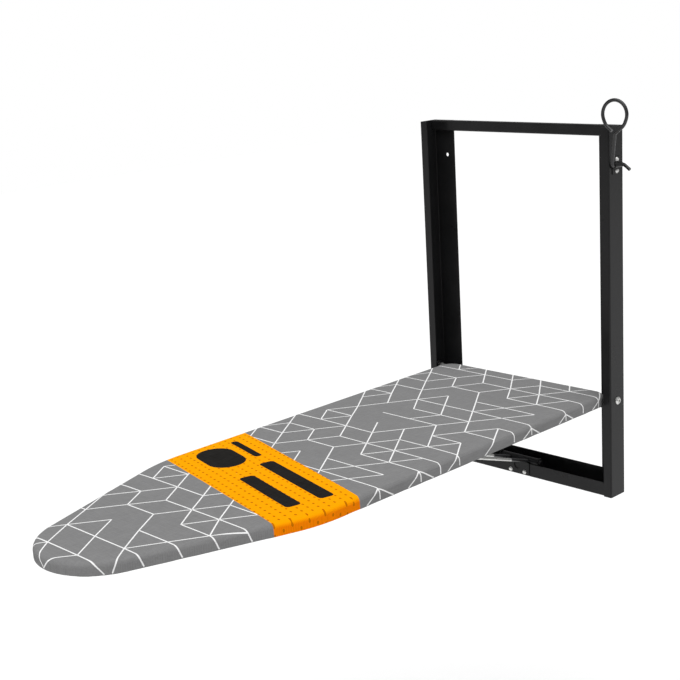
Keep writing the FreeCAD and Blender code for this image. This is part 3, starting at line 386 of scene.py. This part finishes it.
def zinc_plate(name, along):
    """Bright zinc: fine draw marks along one axis over a patchy crystal bloom."""
    material, tree, shader = finish(name, metallic=0.85, specular=0.5)
    stretch = [900.0, 900.0, 900.0]
    stretch["xyz".index(along)] = 12.0
    lines = noise(tree, object_place(tree, tuple(stretch)), 1.0, 2.0)
    bloom = noise(tree, object_place(tree), 260, 2.0)
    tone = calc(tree, "ADD", calc(tree, "MULTIPLY", lines, 0.5), calc(tree, "MULTIPLY", bloom, 0.5))
    tree.links.new(blend_colour(tree, spread(tree, tone, 0, 1), (0.46, 0.46, 0.45), (0.80, 0.80, 0.78)),
                   shader.inputs["Base Color"])
    tree.links.new(spread(tree, tone, 0.42, 0.24), shader.inputs["Roughness"])
    relief(tree, shader, lines, 0.15, 0.0001)
    return material


def dip_foot_end(material, edge_y):
    """Cover a wire with black plastic where its Y is beyond an edge, towards the wall."""
    tree = material.node_tree
    shader = tree.nodes["Principled BSDF"]
    split = tree.nodes.new("ShaderNodeSeparateXYZ")
    tree.links.new(object_place(tree), split.inputs["Vector"])
    dipped = calc(tree, "GREATER_THAN", split.outputs[1], edge_y)
    bare = shader.inputs["Base Color"].links[0].from_socket
    tree.links.new(blend_colour(tree, dipped, bare, (0.012, 0.012, 0.013)), shader.inputs["Base Color"])
    tree.links.new(spread(tree, dipped, 0.85, 0.0, 0.0, 1.0), shader.inputs["Metallic"])


def grey_paint():
    """Thin grey paint on pressed sheet steel, with roll grain and faint scuffs."""
    material, tree, shader = finish("grey_painted_sheet", metallic=0.25, coat=0.05)
    grain = noise(tree, object_place(tree, (30, 700, 700)), 1.0, 2.0)
    patch = noise(tree, object_place(tree), 9)
    tone = calc(tree, "ADD", calc(tree, "MULTIPLY", grain, 0.4), calc(tree, "MULTIPLY", patch, 0.6))
    scuff = spread(tree, noise(tree, object_place(tree, (40, 240, 240)), 1.0, 4.0), 0, 1, 0.68, 0.74)
    paint = blend_colour(tree, spread(tree, tone, 0, 1), (0.30, 0.305, 0.31), (0.42, 0.425, 0.43))
    tree.links.new(blend_colour(tree, scuff, paint, (0.52, 0.52, 0.52)), shader.inputs["Base Color"])
    tree.links.new(spread(tree, tone, 0.48, 0.36), shader.inputs["Roughness"])
    relief(tree, shader, grain, 0.1, 0.0001)
    return material


def moulded_nylon():
    """Black nylon with a fine spark-eroded grain."""
    material, tree, shader = finish("black_moulded_nylon", specular=0.4)
    place = object_place(tree)
    grain = noise(tree, place, 1500, 2.0)
    tree.links.new(blend_colour(tree, grain, (0.018, 0.018, 0.019), (0.035, 0.035, 0.036)),
                   shader.inputs["Base Color"])
    tree.links.new(spread(tree, grain, 0.42, 0.58), shader.inputs["Roughness"])
    relief(tree, shader, grain, 0.25, 0.0001)
    return material


def buffer_rubber():
    """Matt black rubber, bloomed grey in patches."""
    material, tree, shader = finish("black_buffer_rubber", specular=0.3)
    place = object_place(tree)
    bloom = noise(tree, place, 140, 4.0)
    tree.links.new(blend_colour(tree, spread(tree, bloom, 0, 1), (0.014, 0.014, 0.014),
                                (0.04, 0.04, 0.038)), shader.inputs["Base Color"])
    tree.links.new(spread(tree, bloom, 0.7, 0.88), shader.inputs["Roughness"])
    relief(tree, shader, noise(tree, place, 1800, 2.0), 0.2, 0.0001)
    return material


def foam():
    """Open-cell foam: warm white with small round pores, darkened inside as painted shade."""
    material, tree, shader = finish("open_cell_foam", roughness=0.95, specular=0.1)
    place = object_place(tree)
    cells = tree.nodes.new("ShaderNodeTexVoronoi")
    cells.inputs["Scale"].default_value = 850
    tree.links.new(place, cells.inputs["Vector"])
    pores = spread(tree, cells.outputs["Distance"], 0, 1, 0.1, 0.55)
    # Painted shade: the colour darkens towards the middle of each pore.
    tree.links.new(blend_colour(tree, pores, (0.42, 0.40, 0.34), (0.74, 0.72, 0.64)),
                   shader.inputs["Base Color"])
    relief(tree, shader, pores, 0.6, 0.0006)
    return material


def weave(tree, place):
    """Height of a plain weave: crossed threads that pass over and under each other.

    h = max(|sin(pi x / p)| over, |sin(pi y / p)| under), where over and under swap between 1 and
    0.5 in a checker.
    """
    pitch = 1.1 * MM
    split = tree.nodes.new("ShaderNodeSeparateXYZ")
    tree.links.new(place, split.inputs["Vector"])
    sines = [calc(tree, "SINE", calc(tree, "MULTIPLY", split.outputs[axis], math.pi / pitch))
             for axis in (0, 1)]
    checker = calc(tree, "SIGN", calc(tree, "MULTIPLY", sines[0], sines[1]))
    over = calc(tree, "MULTIPLY_ADD", checker, 0.25, 0.75)
    under = calc(tree, "MULTIPLY_ADD", checker, -0.25, 0.75)
    threads = [calc(tree, "MULTIPLY", calc(tree, "ABSOLUTE", sine), side)
               for sine, side in zip(sines, (over, under))]
    return calc(tree, "MAXIMUM", *threads), split


def band_mask(tree, split):
    """1 between the band's two slanting edges and 0 outside them."""
    def beyond(edge):
        """1 on the nose side of a slanting line."""
        start, slope = edge
        line = calc(tree, "MULTIPLY_ADD", split.outputs[0], slope, start)
        return calc(tree, "LESS_THAN", split.outputs[1], line)
    return calc(tree, "SUBTRACT", beyond(BAND_REAR), beyond(BAND_FRONT))


def band_dots(tree):
    """Small staggered dots: distance to the nearest centre of a slanted half-drop grid.

    Height is added to the place across the board, so the grid runs on down the skirt.
    """
    place = object_place(tree, (1 / DOT_PITCH, 1 / DOT_PITCH, 1 / DOT_PITCH), (0, 0, DOT_TURN))
    split = tree.nodes.new("ShaderNodeSeparateXYZ")
    tree.links.new(place, split.inputs["Vector"])
    row = calc(tree, "FLOOR", split.outputs[1])
    shift = calc(tree, "MULTIPLY", calc(tree, "MODULO", row, 2.0), 0.5)
    round_edge = calc(tree, "ADD", split.outputs[0], split.outputs[2])
    across = calc(tree, "SUBTRACT", calc(tree, "FRACT", calc(tree, "ADD", round_edge, shift)), 0.5)
    along = calc(tree, "SUBTRACT", calc(tree, "FRACT", split.outputs[1]), 0.5)
    wide = calc(tree, "MULTIPLY", across, DOT_FLATNESS)
    distance = calc(tree, "SQRT", calc(tree, "ADD", calc(tree, "MULTIPLY", wide, wide),
                                       calc(tree, "MULTIPLY", along, along)))
    return calc(tree, "LESS_THAN", distance, DOT_RADIUS)


def printed_cotton(name, ground_low, ground_high, with_band=True):
    """Woven cotton: slubbed thread colour, a raised weave and, if wanted, the orange band with painted
    shade down the skirt.
    """
    material, tree, shader = finish(name, roughness=0.9, specular=0.03)
    place = object_place(tree)
    height, split = weave(tree, place)
    slub = noise(tree, object_place(tree, (1, 0.12, 1)), 420, 3.0)
    cross_slub = noise(tree, object_place(tree, (0.12, 1, 1)), 420, 3.0)
    patch = noise(tree, place, 22, 3.0)
    tone = calc(tree, "ADD", calc(tree, "MULTIPLY", calc(tree, "ADD", slub, cross_slub), 0.42),
                calc(tree, "MULTIPLY", patch, 0.16))
    cloth = blend_colour(tree, spread(tree, tone, 0, 1, 0.38, 0.62), ground_low, ground_high)
    if with_band:
        # Painted shade: the band darkens to its shaded copy as the cloth drops from the face down the
        # skirt.
        skirt_z, face_z = TOP_Z - 8 * MM, TOP_Z - 3 * MM
        drop = spread(tree, split.outputs[2], 1.0, 0.0, skirt_z, face_z)
        orange = blend_colour(tree, drop, BAND_FACE, BAND_SKIRT_PAINTED_SHADE)
        faded = blend_colour(tree, spread(tree, tone, 0, 0.16), orange, BAND_FADED)
        dotted = blend_colour(tree, band_dots(tree), faded, BAND_DOT)
        cloth = blend_colour(tree, band_mask(tree, split), cloth, dotted)
    shade = blend_colour(tree, spread(tree, height, 0, 1, 0.0, 0.7), (0.80, 0.80, 0.80), (1.0, 1.0, 1.0))
    mix = tree.nodes.new("ShaderNodeMix")
    mix.data_type = "RGBA"
    mix.blend_type = "MULTIPLY"
    mix.inputs["Factor"].default_value = 1.0
    tree.links.new(cloth, mix.inputs[6])
    tree.links.new(shade, mix.inputs[7])
    tree.links.new(mix.outputs[2], shader.inputs["Base Color"])
    relief(tree, shader, height, 0.35, 0.0003)
    return material


def knitted_elastic():
    """Elastic tape: ribs across it, read from the tape's own UV map, with painted shade in the grooves
    between them.
    """
    material, tree, shader = finish("ribbed_elastic", roughness=0.8, sheen=0.2, specular=0.2)
    source = tree.nodes.new("ShaderNodeUVMap")
    source.uv_map = "run"
    split = tree.nodes.new("ShaderNodeSeparateXYZ")
    tree.links.new(source.outputs["UV"], split.inputs["Vector"])
    rib_angle = 2600.0      # radians a metre: a rib every 1.2 mm
    turn = calc(tree, "MULTIPLY", split.outputs[0], rib_angle)
    ribs = calc(tree, "ABSOLUTE", calc(tree, "SINE", turn))
    # Painted shade: the tape's colour darkens in the grooves between the ribs.
    tree.links.new(blend_colour(tree, ribs, (0.42, 0.42, 0.41), (0.78, 0.78, 0.76)),
                   shader.inputs["Base Color"])
    relief(tree, shader, ribs, 0.5, 0.0003)
    return material


def stitch_thread():
    """Twisted thread in light grey."""
    material, tree, shader = finish("grey_stitch_thread", roughness=0.7, sheen=0.2, specular=0.2)
    ply = noise(tree, object_place(tree, (2500, 2500, 2500)), 1.0, 1.0)
    tree.links.new(blend_colour(tree, ply, (0.40, 0.40, 0.40), (0.66, 0.66, 0.66)),
                   shader.inputs["Base Color"])
    return material


BLACK = powder_coat()
ZINC = zinc_plate("zinc_plate_across", "x")
ZINC_ALONG = zinc_plate("zinc_plate_drawn_wire", "y")
dip_foot_end(ZINC_ALONG, DIP_EDGE)
SLOT_FINISH = {"black_steel": BLACK, "black_wire": coated_wire(), "zinc": ZINC,
               "galvanised": grey_paint(), "nylon": moulded_nylon(), "foam": foam(),
               "cover_cloth": printed_cotton("grey_printed_cotton", (0.195, 0.195, 0.196),
                                             (0.228, 0.228, 0.229)),
               "elastic": knitted_elastic(), "buffer_rubber": buffer_rubber()}
LINE_INK = printed_cotton("white_line_print", (0.80, 0.80, 0.80), (0.92, 0.92, 0.92))
MARK_INK = printed_cotton("dark_mark_print", (0.012, 0.011, 0.010), (0.020, 0.019, 0.018), False)
THREAD = stitch_thread()

for row in frame["record"]["subparts"]:
    kept = frame["nodes"][row["node"]]
    kept.data.materials.clear()
    kept.data.materials.append(SLOT_FINISH[row["material_slot"]])
for name in ("strut_rod_left", "strut_rod_right"):
    frame["nodes"][name].data.materials[0] = ZINC_ALONG


# ---------------------------------------------------------------- cover, pad and hem
def cover_sheet():
    """The cloth cover: top, rolled edge, skirt and turned hem as one sheet.

    Row r of the top runs from the board's spine to the edge: point = spine + f_r (edge - spine).
    The rows past the edge follow the section in past_edge.
    """
    step = 3
    edge, normal = roll_loop[::step], outer_normal[::step]
    walk, curve = outer_walk[::step], loop_curve[::step]
    spine_y = np.clip(edge[:, 1], TIP_Y + NOSE_RADIUS, REAR_Y - SPINE_END)
    spine = np.column_stack([np.zeros(len(edge)), spine_y])
    share = 1 - np.linspace(1, 0, 13) ** ROW_EASE
    inner = spine[None] + share[:, None, None] * (edge - spine)[None]
    depth = inward_distance(inner.reshape(-1, 2)).reshape(inner.shape[:2])
    top = np.concatenate([inner, top_height(inner[..., 0], inner[..., 1], depth)[..., None]], axis=-1)
    sections = ((0, EDGE_END, 8), (EDGE_END, SKIRT_END, 6), (SKIRT_END, HEM_START, 4),
                (HEM_START, HEM_END, 3))
    past = np.concatenate([np.linspace(start, end, rows + 1)[1:] for start, end, rows in sections])
    shape = (len(past), len(edge))
    spread_past = np.broadcast_to(past[:, None], shape)
    side = past_edge(np.broadcast_to(edge, (*shape, 2)), np.broadcast_to(normal, (*shape, 2)),
                     np.broadcast_to(walk, shape), np.broadcast_to(curve, shape), spread_past, 0.0)
    points = np.concatenate([top, side])
    faces = grid_faces(len(points), len(edge), wrap_columns=True)[:, ::-1]
    cover = mesh_piece("cloth_cover", points.reshape(-1, 3), faces, "board",
                       SLOT_FINISH["cover_cloth"], merge=1e-6)
    wall = cover.modifiers.new("cloth thickness", "SOLIDIFY")
    wall.thickness = CLOTH
    wall.offset = -1
    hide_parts("cover")
    return cover


def foam_layer():
    """The foam pad: a flat underside, upright sides and a top that follows the cover."""
    step = 4
    side_gap, top_gap, floor_gap = 0.25 * MM, 0.3 * MM, 0.05 * MM
    inset = CLOTH + side_gap
    edge = outer_loop[::step] - inset * outer_normal[::step]
    normal = outer_normal[::step]
    pad_low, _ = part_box("foam_pad")
    roll = EDGE_ROLL - inset
    spine_y = np.clip(edge[:, 1], TIP_Y + NOSE_RADIUS, REAR_Y - SPINE_END)
    spine = np.column_stack([np.zeros(len(edge)), spine_y])
    turn = np.linspace(0, math.pi / 2, 7)
    share = 1 - np.linspace(1, 0, 10) ** ROW_EASE
    brim = edge - roll * normal
    inner = spine[None] + share[:, None, None] * (brim - spine)[None]
    depth = inward_distance(inner.reshape(-1, 2)).reshape(inner.shape[:2])
    cells = 0.12 * MM * np.sin(inner[..., 0] / (9 * MM)) * np.sin(inner[..., 1] / (11 * MM))
    height = top_height(inner[..., 0], inner[..., 1], depth) - CLOTH - top_gap + cells
    top = np.concatenate([inner, height[..., None]], axis=-1)
    fall = height[-1][None] - roll * (1 - np.cos(turn[1:]))[:, None]
    fall = np.maximum(fall, pad_low.z + 0.2 * MM)
    rim = brim[None] + normal[None] * (roll * np.sin(turn[1:]))[:, None, None]
    side = np.concatenate([rim, fall[..., None]], axis=-1)
    floor_z = np.full((1, len(edge), 1), pad_low.z + floor_gap)
    foot = np.concatenate([edge[None], floor_z], axis=-1)
    under = spine[None] + np.linspace(1, 0, 8)[1:, None, None] * (edge - spine)[None]
    below = np.concatenate([under, np.broadcast_to(floor_z, (7, len(edge), 1))], axis=-1)
    points = np.concatenate([top, side, foot, below])
    faces = grid_faces(len(points), len(edge), wrap_columns=True)[:, ::-1]
    pad = mesh_piece("foam_layer", points.reshape(-1, 3), faces, "board", SLOT_FINISH["foam"], merge=1e-6)
    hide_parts("foam_pad")
    return pad


def loop_bar(name, inset, middle_z, half_wide, half_high, body, material, ripple):
    """A soft-cornered bar carried round the board's plan; its section is a squared ellipse.

    Section point t = (a sign(cos t) |cos t|^0.6, b sign(sin t) |sin t|^0.6), and the bar's width
    ripples as it is gathered.
    """
    step = 3
    path = outer_loop[::step] - inset * outer_normal[::step]
    normal = outer_normal[::step]
    walk = outer_walk[::step]
    turn = np.linspace(0, 2 * math.pi, 12, endpoint=False)
    across = half_wide * np.sign(np.cos(turn)) * np.abs(np.cos(turn)) ** 0.6
    up = half_high * np.sign(np.sin(turn)) * np.abs(np.sin(turn)) ** 0.6
    gather = 1 + ripple * np.sin(loop_phase(walk, 380))
    ring = path[None] + normal[None] * (across[:, None] * gather[None])[..., None]
    height = np.broadcast_to((middle_z + up)[:, None], ring.shape[:2])
    points = np.concatenate([ring, height[..., None]], axis=-1)
    faces = grid_faces(len(turn), len(path), wrap_rows=True, wrap_columns=True)
    bar = mesh_piece(name, points.reshape(-1, 3), faces, body, material)
    layer = bar.data.uv_layers.new(name="run")
    corner = np.empty(len(bar.data.loops), int)
    bar.data.loops.foreach_get("vertex_index", corner)
    run = np.column_stack([walk[corner % len(path)], corner // len(path) / len(turn)])
    layer.data.foreach_set("uv", run.ravel())
    return bar


def hem_stitches():
    """Short thread stitches along the hem: rounded capsules at an even pitch on the plan's loop."""
    count = 560
    from_edge, half, thick, bow, below = 0.8 * MM, 1.4 * MM, 0.28 * MM, 0.1 * MM, 0.15 * MM
    path, _ = plan_loop(count)
    normal = outward(path)
    tangent = np.column_stack([-normal[:, 1], normal[:, 0]])
    middle = path - (HEM_RUN - from_edge) * normal
    turn = np.linspace(0, 2 * math.pi, 6, endpoint=False)
    share = np.array([-1.0, -0.8, 0.8, 1.0])
    swell = np.array([0.02, 1.0, 1.0, 0.02])
    along = tangent[:, None, None, :] * (half * share)[None, :, None, None]
    out = normal[:, None, None, :] * (thick * swell[:, None] * np.cos(turn))[None, :, :, None]
    flat = middle[:, None, None, :] + along + out
    up = LOW_Z - below - bow * (1 - share ** 2)[None, :, None]
    up = up + (thick * swell[:, None] * np.sin(turn))[None]
    points = np.concatenate([flat, np.broadcast_to(up, flat.shape[:3])[..., None]], axis=-1)
    faces = grid_faces(len(share), len(turn), wrap_columns=True)
    first = len(share) * len(turn) * np.arange(count)
    every = (faces[None] + first[:, None, None]).reshape(-1, 4)
    piece = mesh_piece("hem_stitching", points.reshape(-1, 3), every, "board", THREAD)
    return piece


# Which lattice edges are drawn, for eight rows that repeat along the board.  ACROSS runs from a
# node to the next but one in its row; FALL_RIGHT and FALL_LEFT run to a node of the next row.
ACROSS = ((0, 2, 4, 8, 10, 12), (1, 5, 7, 9, 11), (0, 4, 8, 10, 12), (1, 7, 9),
          (0, 4, 6, 8, 10, 12), (5, 7, 11), (4, 6, 10), (1, 9))
FALL_RIGHT = ((0, 4, 6, 8, 12), (1, 3, 7, 9), (0, 2, 6, 12), (1, 3, 5, 7), (0, 2, 4, 6, 8, 12),
              (1, 9, 11), (2, 8, 12), (1, 3, 5, 7, 9, 11))
FALL_LEFT = ((4, 8, 10), (1, 3, 5, 7, 9, 11, 13), (4, 10), (1, 5, 9, 11, 13), (2, 4, 10),
             (3, 7, 9, 11), (2, 8, 10), (3, 7, 11))
# The stretched cloth draws the print a little: each row's shift along the board and its widening.
SHIFT_ROWS = (-1, 1, 2, 4, 7, 12, 16, 18, 19, 20, 21)
SHIFTS = (4, 4, 0, -3, -4, -1, 1, 1, -3, -8, -15)
WIDE_ROWS = (0, 4, 6, 17, 19, 20, 21)
WIDENINGS = (1.045, 1.035, 1.0, 1.0, 1.06, 1.12, 1.18)
# Edges drawn on the nose besides the repeating ones, as (start column, start row, end column, row).
NOSE_EDGES = ((3, 21, 5, 21), (5, 21, 4, 22), (5, 21, 6, 22))


def lattice_edges():
    """Both ends of every drawn edge of the lattice, on the flat cloth."""
    starts = [edge[:2] for edge in NOSE_EDGES]
    ends = [edge[2:] for edge in NOSE_EDGES]
    for row in ROWS_DRAWN:
        for table, columns, rows in ((ACROSS, 2, 0), (FALL_RIGHT, 1, 1), (FALL_LEFT, -1, 1)):
            for column in table[row % len(table)]:
                starts.append((column, row))
                ends.append((column + columns, row + rows))
    laid = []
    for nodes in (np.array(starts, float), np.array(ends, float)):
        column, row = nodes[:, 0], nodes[:, 1]
        across = (COLUMN_START + COLUMN_STEP * column) * np.interp(row, WIDE_ROWS, WIDENINGS)
        along = ROW_START - ROW_STEP * row + MM * np.interp(row, SHIFT_ROWS, SHIFTS)
        laid.append(np.column_stack([across + PRINT_ASIDE, along]))
    return laid


def line_print():
    """The white printed lines: thin strips on the cover, each from one node to another.

    Point (k, t, side) = start + t (end - start) + side width / 2 across, laid on the cloth.  The
    strips stop short of the band, and where the skirt turns under.
    """
    samples = 32
    starts, ends = lattice_edges()
    share = np.linspace(0, 1, samples)
    run = ends - starts
    across = np.column_stack([-run[:, 1], run[:, 0]]) / np.linalg.norm(run, axis=1, keepdims=True)
    line = starts[:, None] + share[None, :, None] * run[:, None]
    half = across[:, None] * LINE_WIDTH / 2
    flat = np.stack([line - half, line + half], axis=2)
    laid, past = cloth_point(flat.reshape(-1, 2), LINE_LIFT)
    past = past.reshape(len(starts), samples, 2)
    faces = grid_faces(samples, 2)
    every = faces[None] + 2 * samples * np.arange(len(starts))[:, None, None]
    on_cloth = (past[:, :-1].min(axis=2) < SKIRT_END) & (past[:, 1:].min(axis=2) < SKIRT_END)
    middle = (line[:, :-1] + line[:, 1:]) / 2
    behind = middle[..., 1] > BAND_REAR[0] + BAND_REAR[1] * middle[..., 0] - BAND_MARGIN
    ahead = middle[..., 1] < BAND_FRONT[0] + BAND_FRONT[1] * middle[..., 0] + BAND_MARGIN
    on_cloth &= behind | ahead
    return mesh_piece("printed_lines", laid, every[on_cloth], "board", LINE_INK)


# Plain dark marks on the band: name, middle x and y, length, height and corner radius in mm.
BAND_MARKS = (("band_mark_upper", 54, -619, 184, 24, 6), ("band_mark_lower", 60, -675, 146, 24, 6),
              ("band_mark_spot", -107, -625, 96, 60, 29.5), ("band_mark_bar", -108, -574, 88, 12, 5.5))


def slanted_box(name, middle, length, height, corner):
    """A plain printed bar with round ends, turned with the band: a grid squeezed to its outline.

    For each place u along the bar the half height is the outline's own, so the grid point is
    (u, v h(u)) with h(u) rounded off by a quarter circle at each end.
    """
    places = np.concatenate([corner * (1 - np.cos(np.linspace(0, math.pi / 2, 8))) - length / 2,
                             np.linspace(corner - length / 2, length / 2 - corner, 24)[1:-1],
                             length / 2 - corner * (1 - np.cos(np.linspace(math.pi / 2, 0, 8)))])
    inside = np.clip((np.abs(places) - (length / 2 - corner)) / corner, 0, 1)
    half = height / 2 - corner * (1 - np.sqrt(1 - inside ** 2))
    share = np.linspace(-1, 1, 9)
    u = np.broadcast_to(places[:, None], (len(places), len(share)))
    v = half[:, None] * share[None]
    flat = np.stack([middle[0] + u * math.cos(MARK_SLANT) - v * math.sin(MARK_SLANT),
                     middle[1] + u * math.sin(MARK_SLANT) + v * math.cos(MARK_SLANT)], axis=-1)
    laid, _ = cloth_point(flat.reshape(-1, 2), MARK_LIFT)
    return mesh_piece(name, laid, grid_faces(len(places), len(share)), "board", MARK_INK)


cover = cover_sheet()
foam_layer()
hem = loop_bar("hem_elastic_tape", inset=4.0 * MM, middle_z=-152.6 * MM, half_wide=1.5 * MM,
               half_high=0.8 * MM, body="board", material=SLOT_FINISH["elastic"], ripple=0.12)
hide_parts("hem_elastic")
stitches = hem_stitches()
lines = line_print()
marks = [slanted_box(name, (x * MM, y * MM), length * MM, height * MM, corner * MM)
         for name, x, y, length, height, corner in BAND_MARKS]
for piece in (lines, *marks):
    piece.parent = cover


# ---------------------------------------------------------------- studio
FLOOR_HALF = 9.0            # half width of the floor, metres
FLOOR_Z = -0.95
SURROUND = 0.28             # strength of the surround on the object; the camera sees it at 1
SUN_POWER, SUN_SPREAD = 2.95, math.radians(75)
SUN_TURN = (math.radians(12), math.radians(6), 0)
CAMERA_PLACE = (1.4193, -1.8219, 0.5304)
CAMERA_ANGLES = (46.215, 14.283, -3.406)        # azimuth, elevation and roll, degrees
LENS, SENSOR = 70.55, 36.0                      # millimetres
CLIP_NEAR, CLIP_FAR = 0.05, 60.0


def soft_box(name, size, power, place, target):
    """A rectangular lamp aimed at a point."""
    lamp = bpy.data.lights.new(name, "AREA")
    lamp.shape = "RECTANGLE"
    lamp.size, lamp.size_y = size
    lamp.energy = power
    box = bpy.data.objects.new(name, lamp)
    bpy.context.scene.collection.objects.link(box)
    box.location = place
    box.rotation_euler = (Vector(target) - box.location).to_track_quat("-Z", "Y").to_euler()


def studio():
    """A pale floor well below the board, an even white surround, soft lights and the camera."""
    steps = np.linspace(-FLOOR_HALF, FLOOR_HALF, 3)
    x, y = np.meshgrid(steps, steps)
    points = np.column_stack([x.ravel(), y.ravel(), np.full(9, FLOOR_Z)])
    mesh = bpy.data.meshes.new("studio_floor")
    mesh.from_pydata(points.tolist(), [], grid_faces(3, 3).tolist())
    floor = bpy.data.objects.new("studio_floor", mesh)
    bpy.context.scene.collection.objects.link(floor)
    material, tree, shader = finish("pale_floor", roughness=0.9, specular=0.1)
    tree.links.new(blend_colour(tree, noise(tree, object_place(tree), 3), (0.90, 0.90, 0.90),
                                (0.93, 0.93, 0.93)), shader.inputs["Base Color"])
    mesh.materials.append(material)

    world = bpy.data.worlds.new("white surround")
    world.use_nodes = True
    nodes, links = world.node_tree.nodes, world.node_tree.links
    plain, soft = nodes["Background"], nodes.new("ShaderNodeBackground")
    plain.inputs["Color"].default_value = (1, 1, 1, 1)
    soft.inputs["Color"].default_value = (1, 1, 1, 1)
    soft.inputs["Strength"].default_value = SURROUND
    choice, path = nodes.new("ShaderNodeMixShader"), nodes.new("ShaderNodeLightPath")
    links.new(path.outputs["Is Camera Ray"], choice.inputs["Fac"])
    links.new(soft.outputs["Background"], choice.inputs[1])
    links.new(plain.outputs["Background"], choice.inputs[2])
    links.new(choice.outputs["Shader"], nodes["World Output"].inputs["Surface"])
    bpy.context.scene.world = world

    overhead = bpy.data.lights.new("overhead soft light", "SUN")
    overhead.energy = SUN_POWER
    overhead.angle = SUN_SPREAD
    light = bpy.data.objects.new("overhead soft light", overhead)
    bpy.context.scene.collection.objects.link(light)
    light.rotation_euler = SUN_TURN
    soft_box("right soft box", (0.9, 2.4), 2.6, (2.4, 1.6, 0.2), (0.2, 0, 0))
    soft_box("front low fill", (1.6, 0.8), 1.5, (0.3, -1.9, 0.9), (0.0, 0.0, -0.28))

    azimuth, elevation, roll = (math.radians(angle) for angle in CAMERA_ANGLES)
    ahead = Vector((-math.sin(azimuth) * math.cos(elevation), math.cos(azimuth) * math.cos(elevation),
                    -math.sin(elevation)))
    level = Vector((math.cos(azimuth), math.sin(azimuth), 0))
    rise = level.cross(ahead)
    right = math.cos(roll) * level + math.sin(roll) * rise
    up = math.cos(roll) * rise - math.sin(roll) * level
    lens = bpy.data.cameras.new("studio camera")
    lens.sensor_width = SENSOR
    lens.lens = LENS
    lens.clip_start, lens.clip_end = CLIP_NEAR, CLIP_FAR
    camera = bpy.data.objects.new("studio camera", lens)
    bpy.context.scene.collection.objects.link(camera)
    turn = Matrix((right, up, -ahead)).transposed().to_4x4()
    camera.matrix_world = Matrix.Translation(CAMERA_PLACE) @ turn
    bpy.context.scene.camera = camera
    bpy.context.scene.view_settings.view_transform = "Standard"


studio()
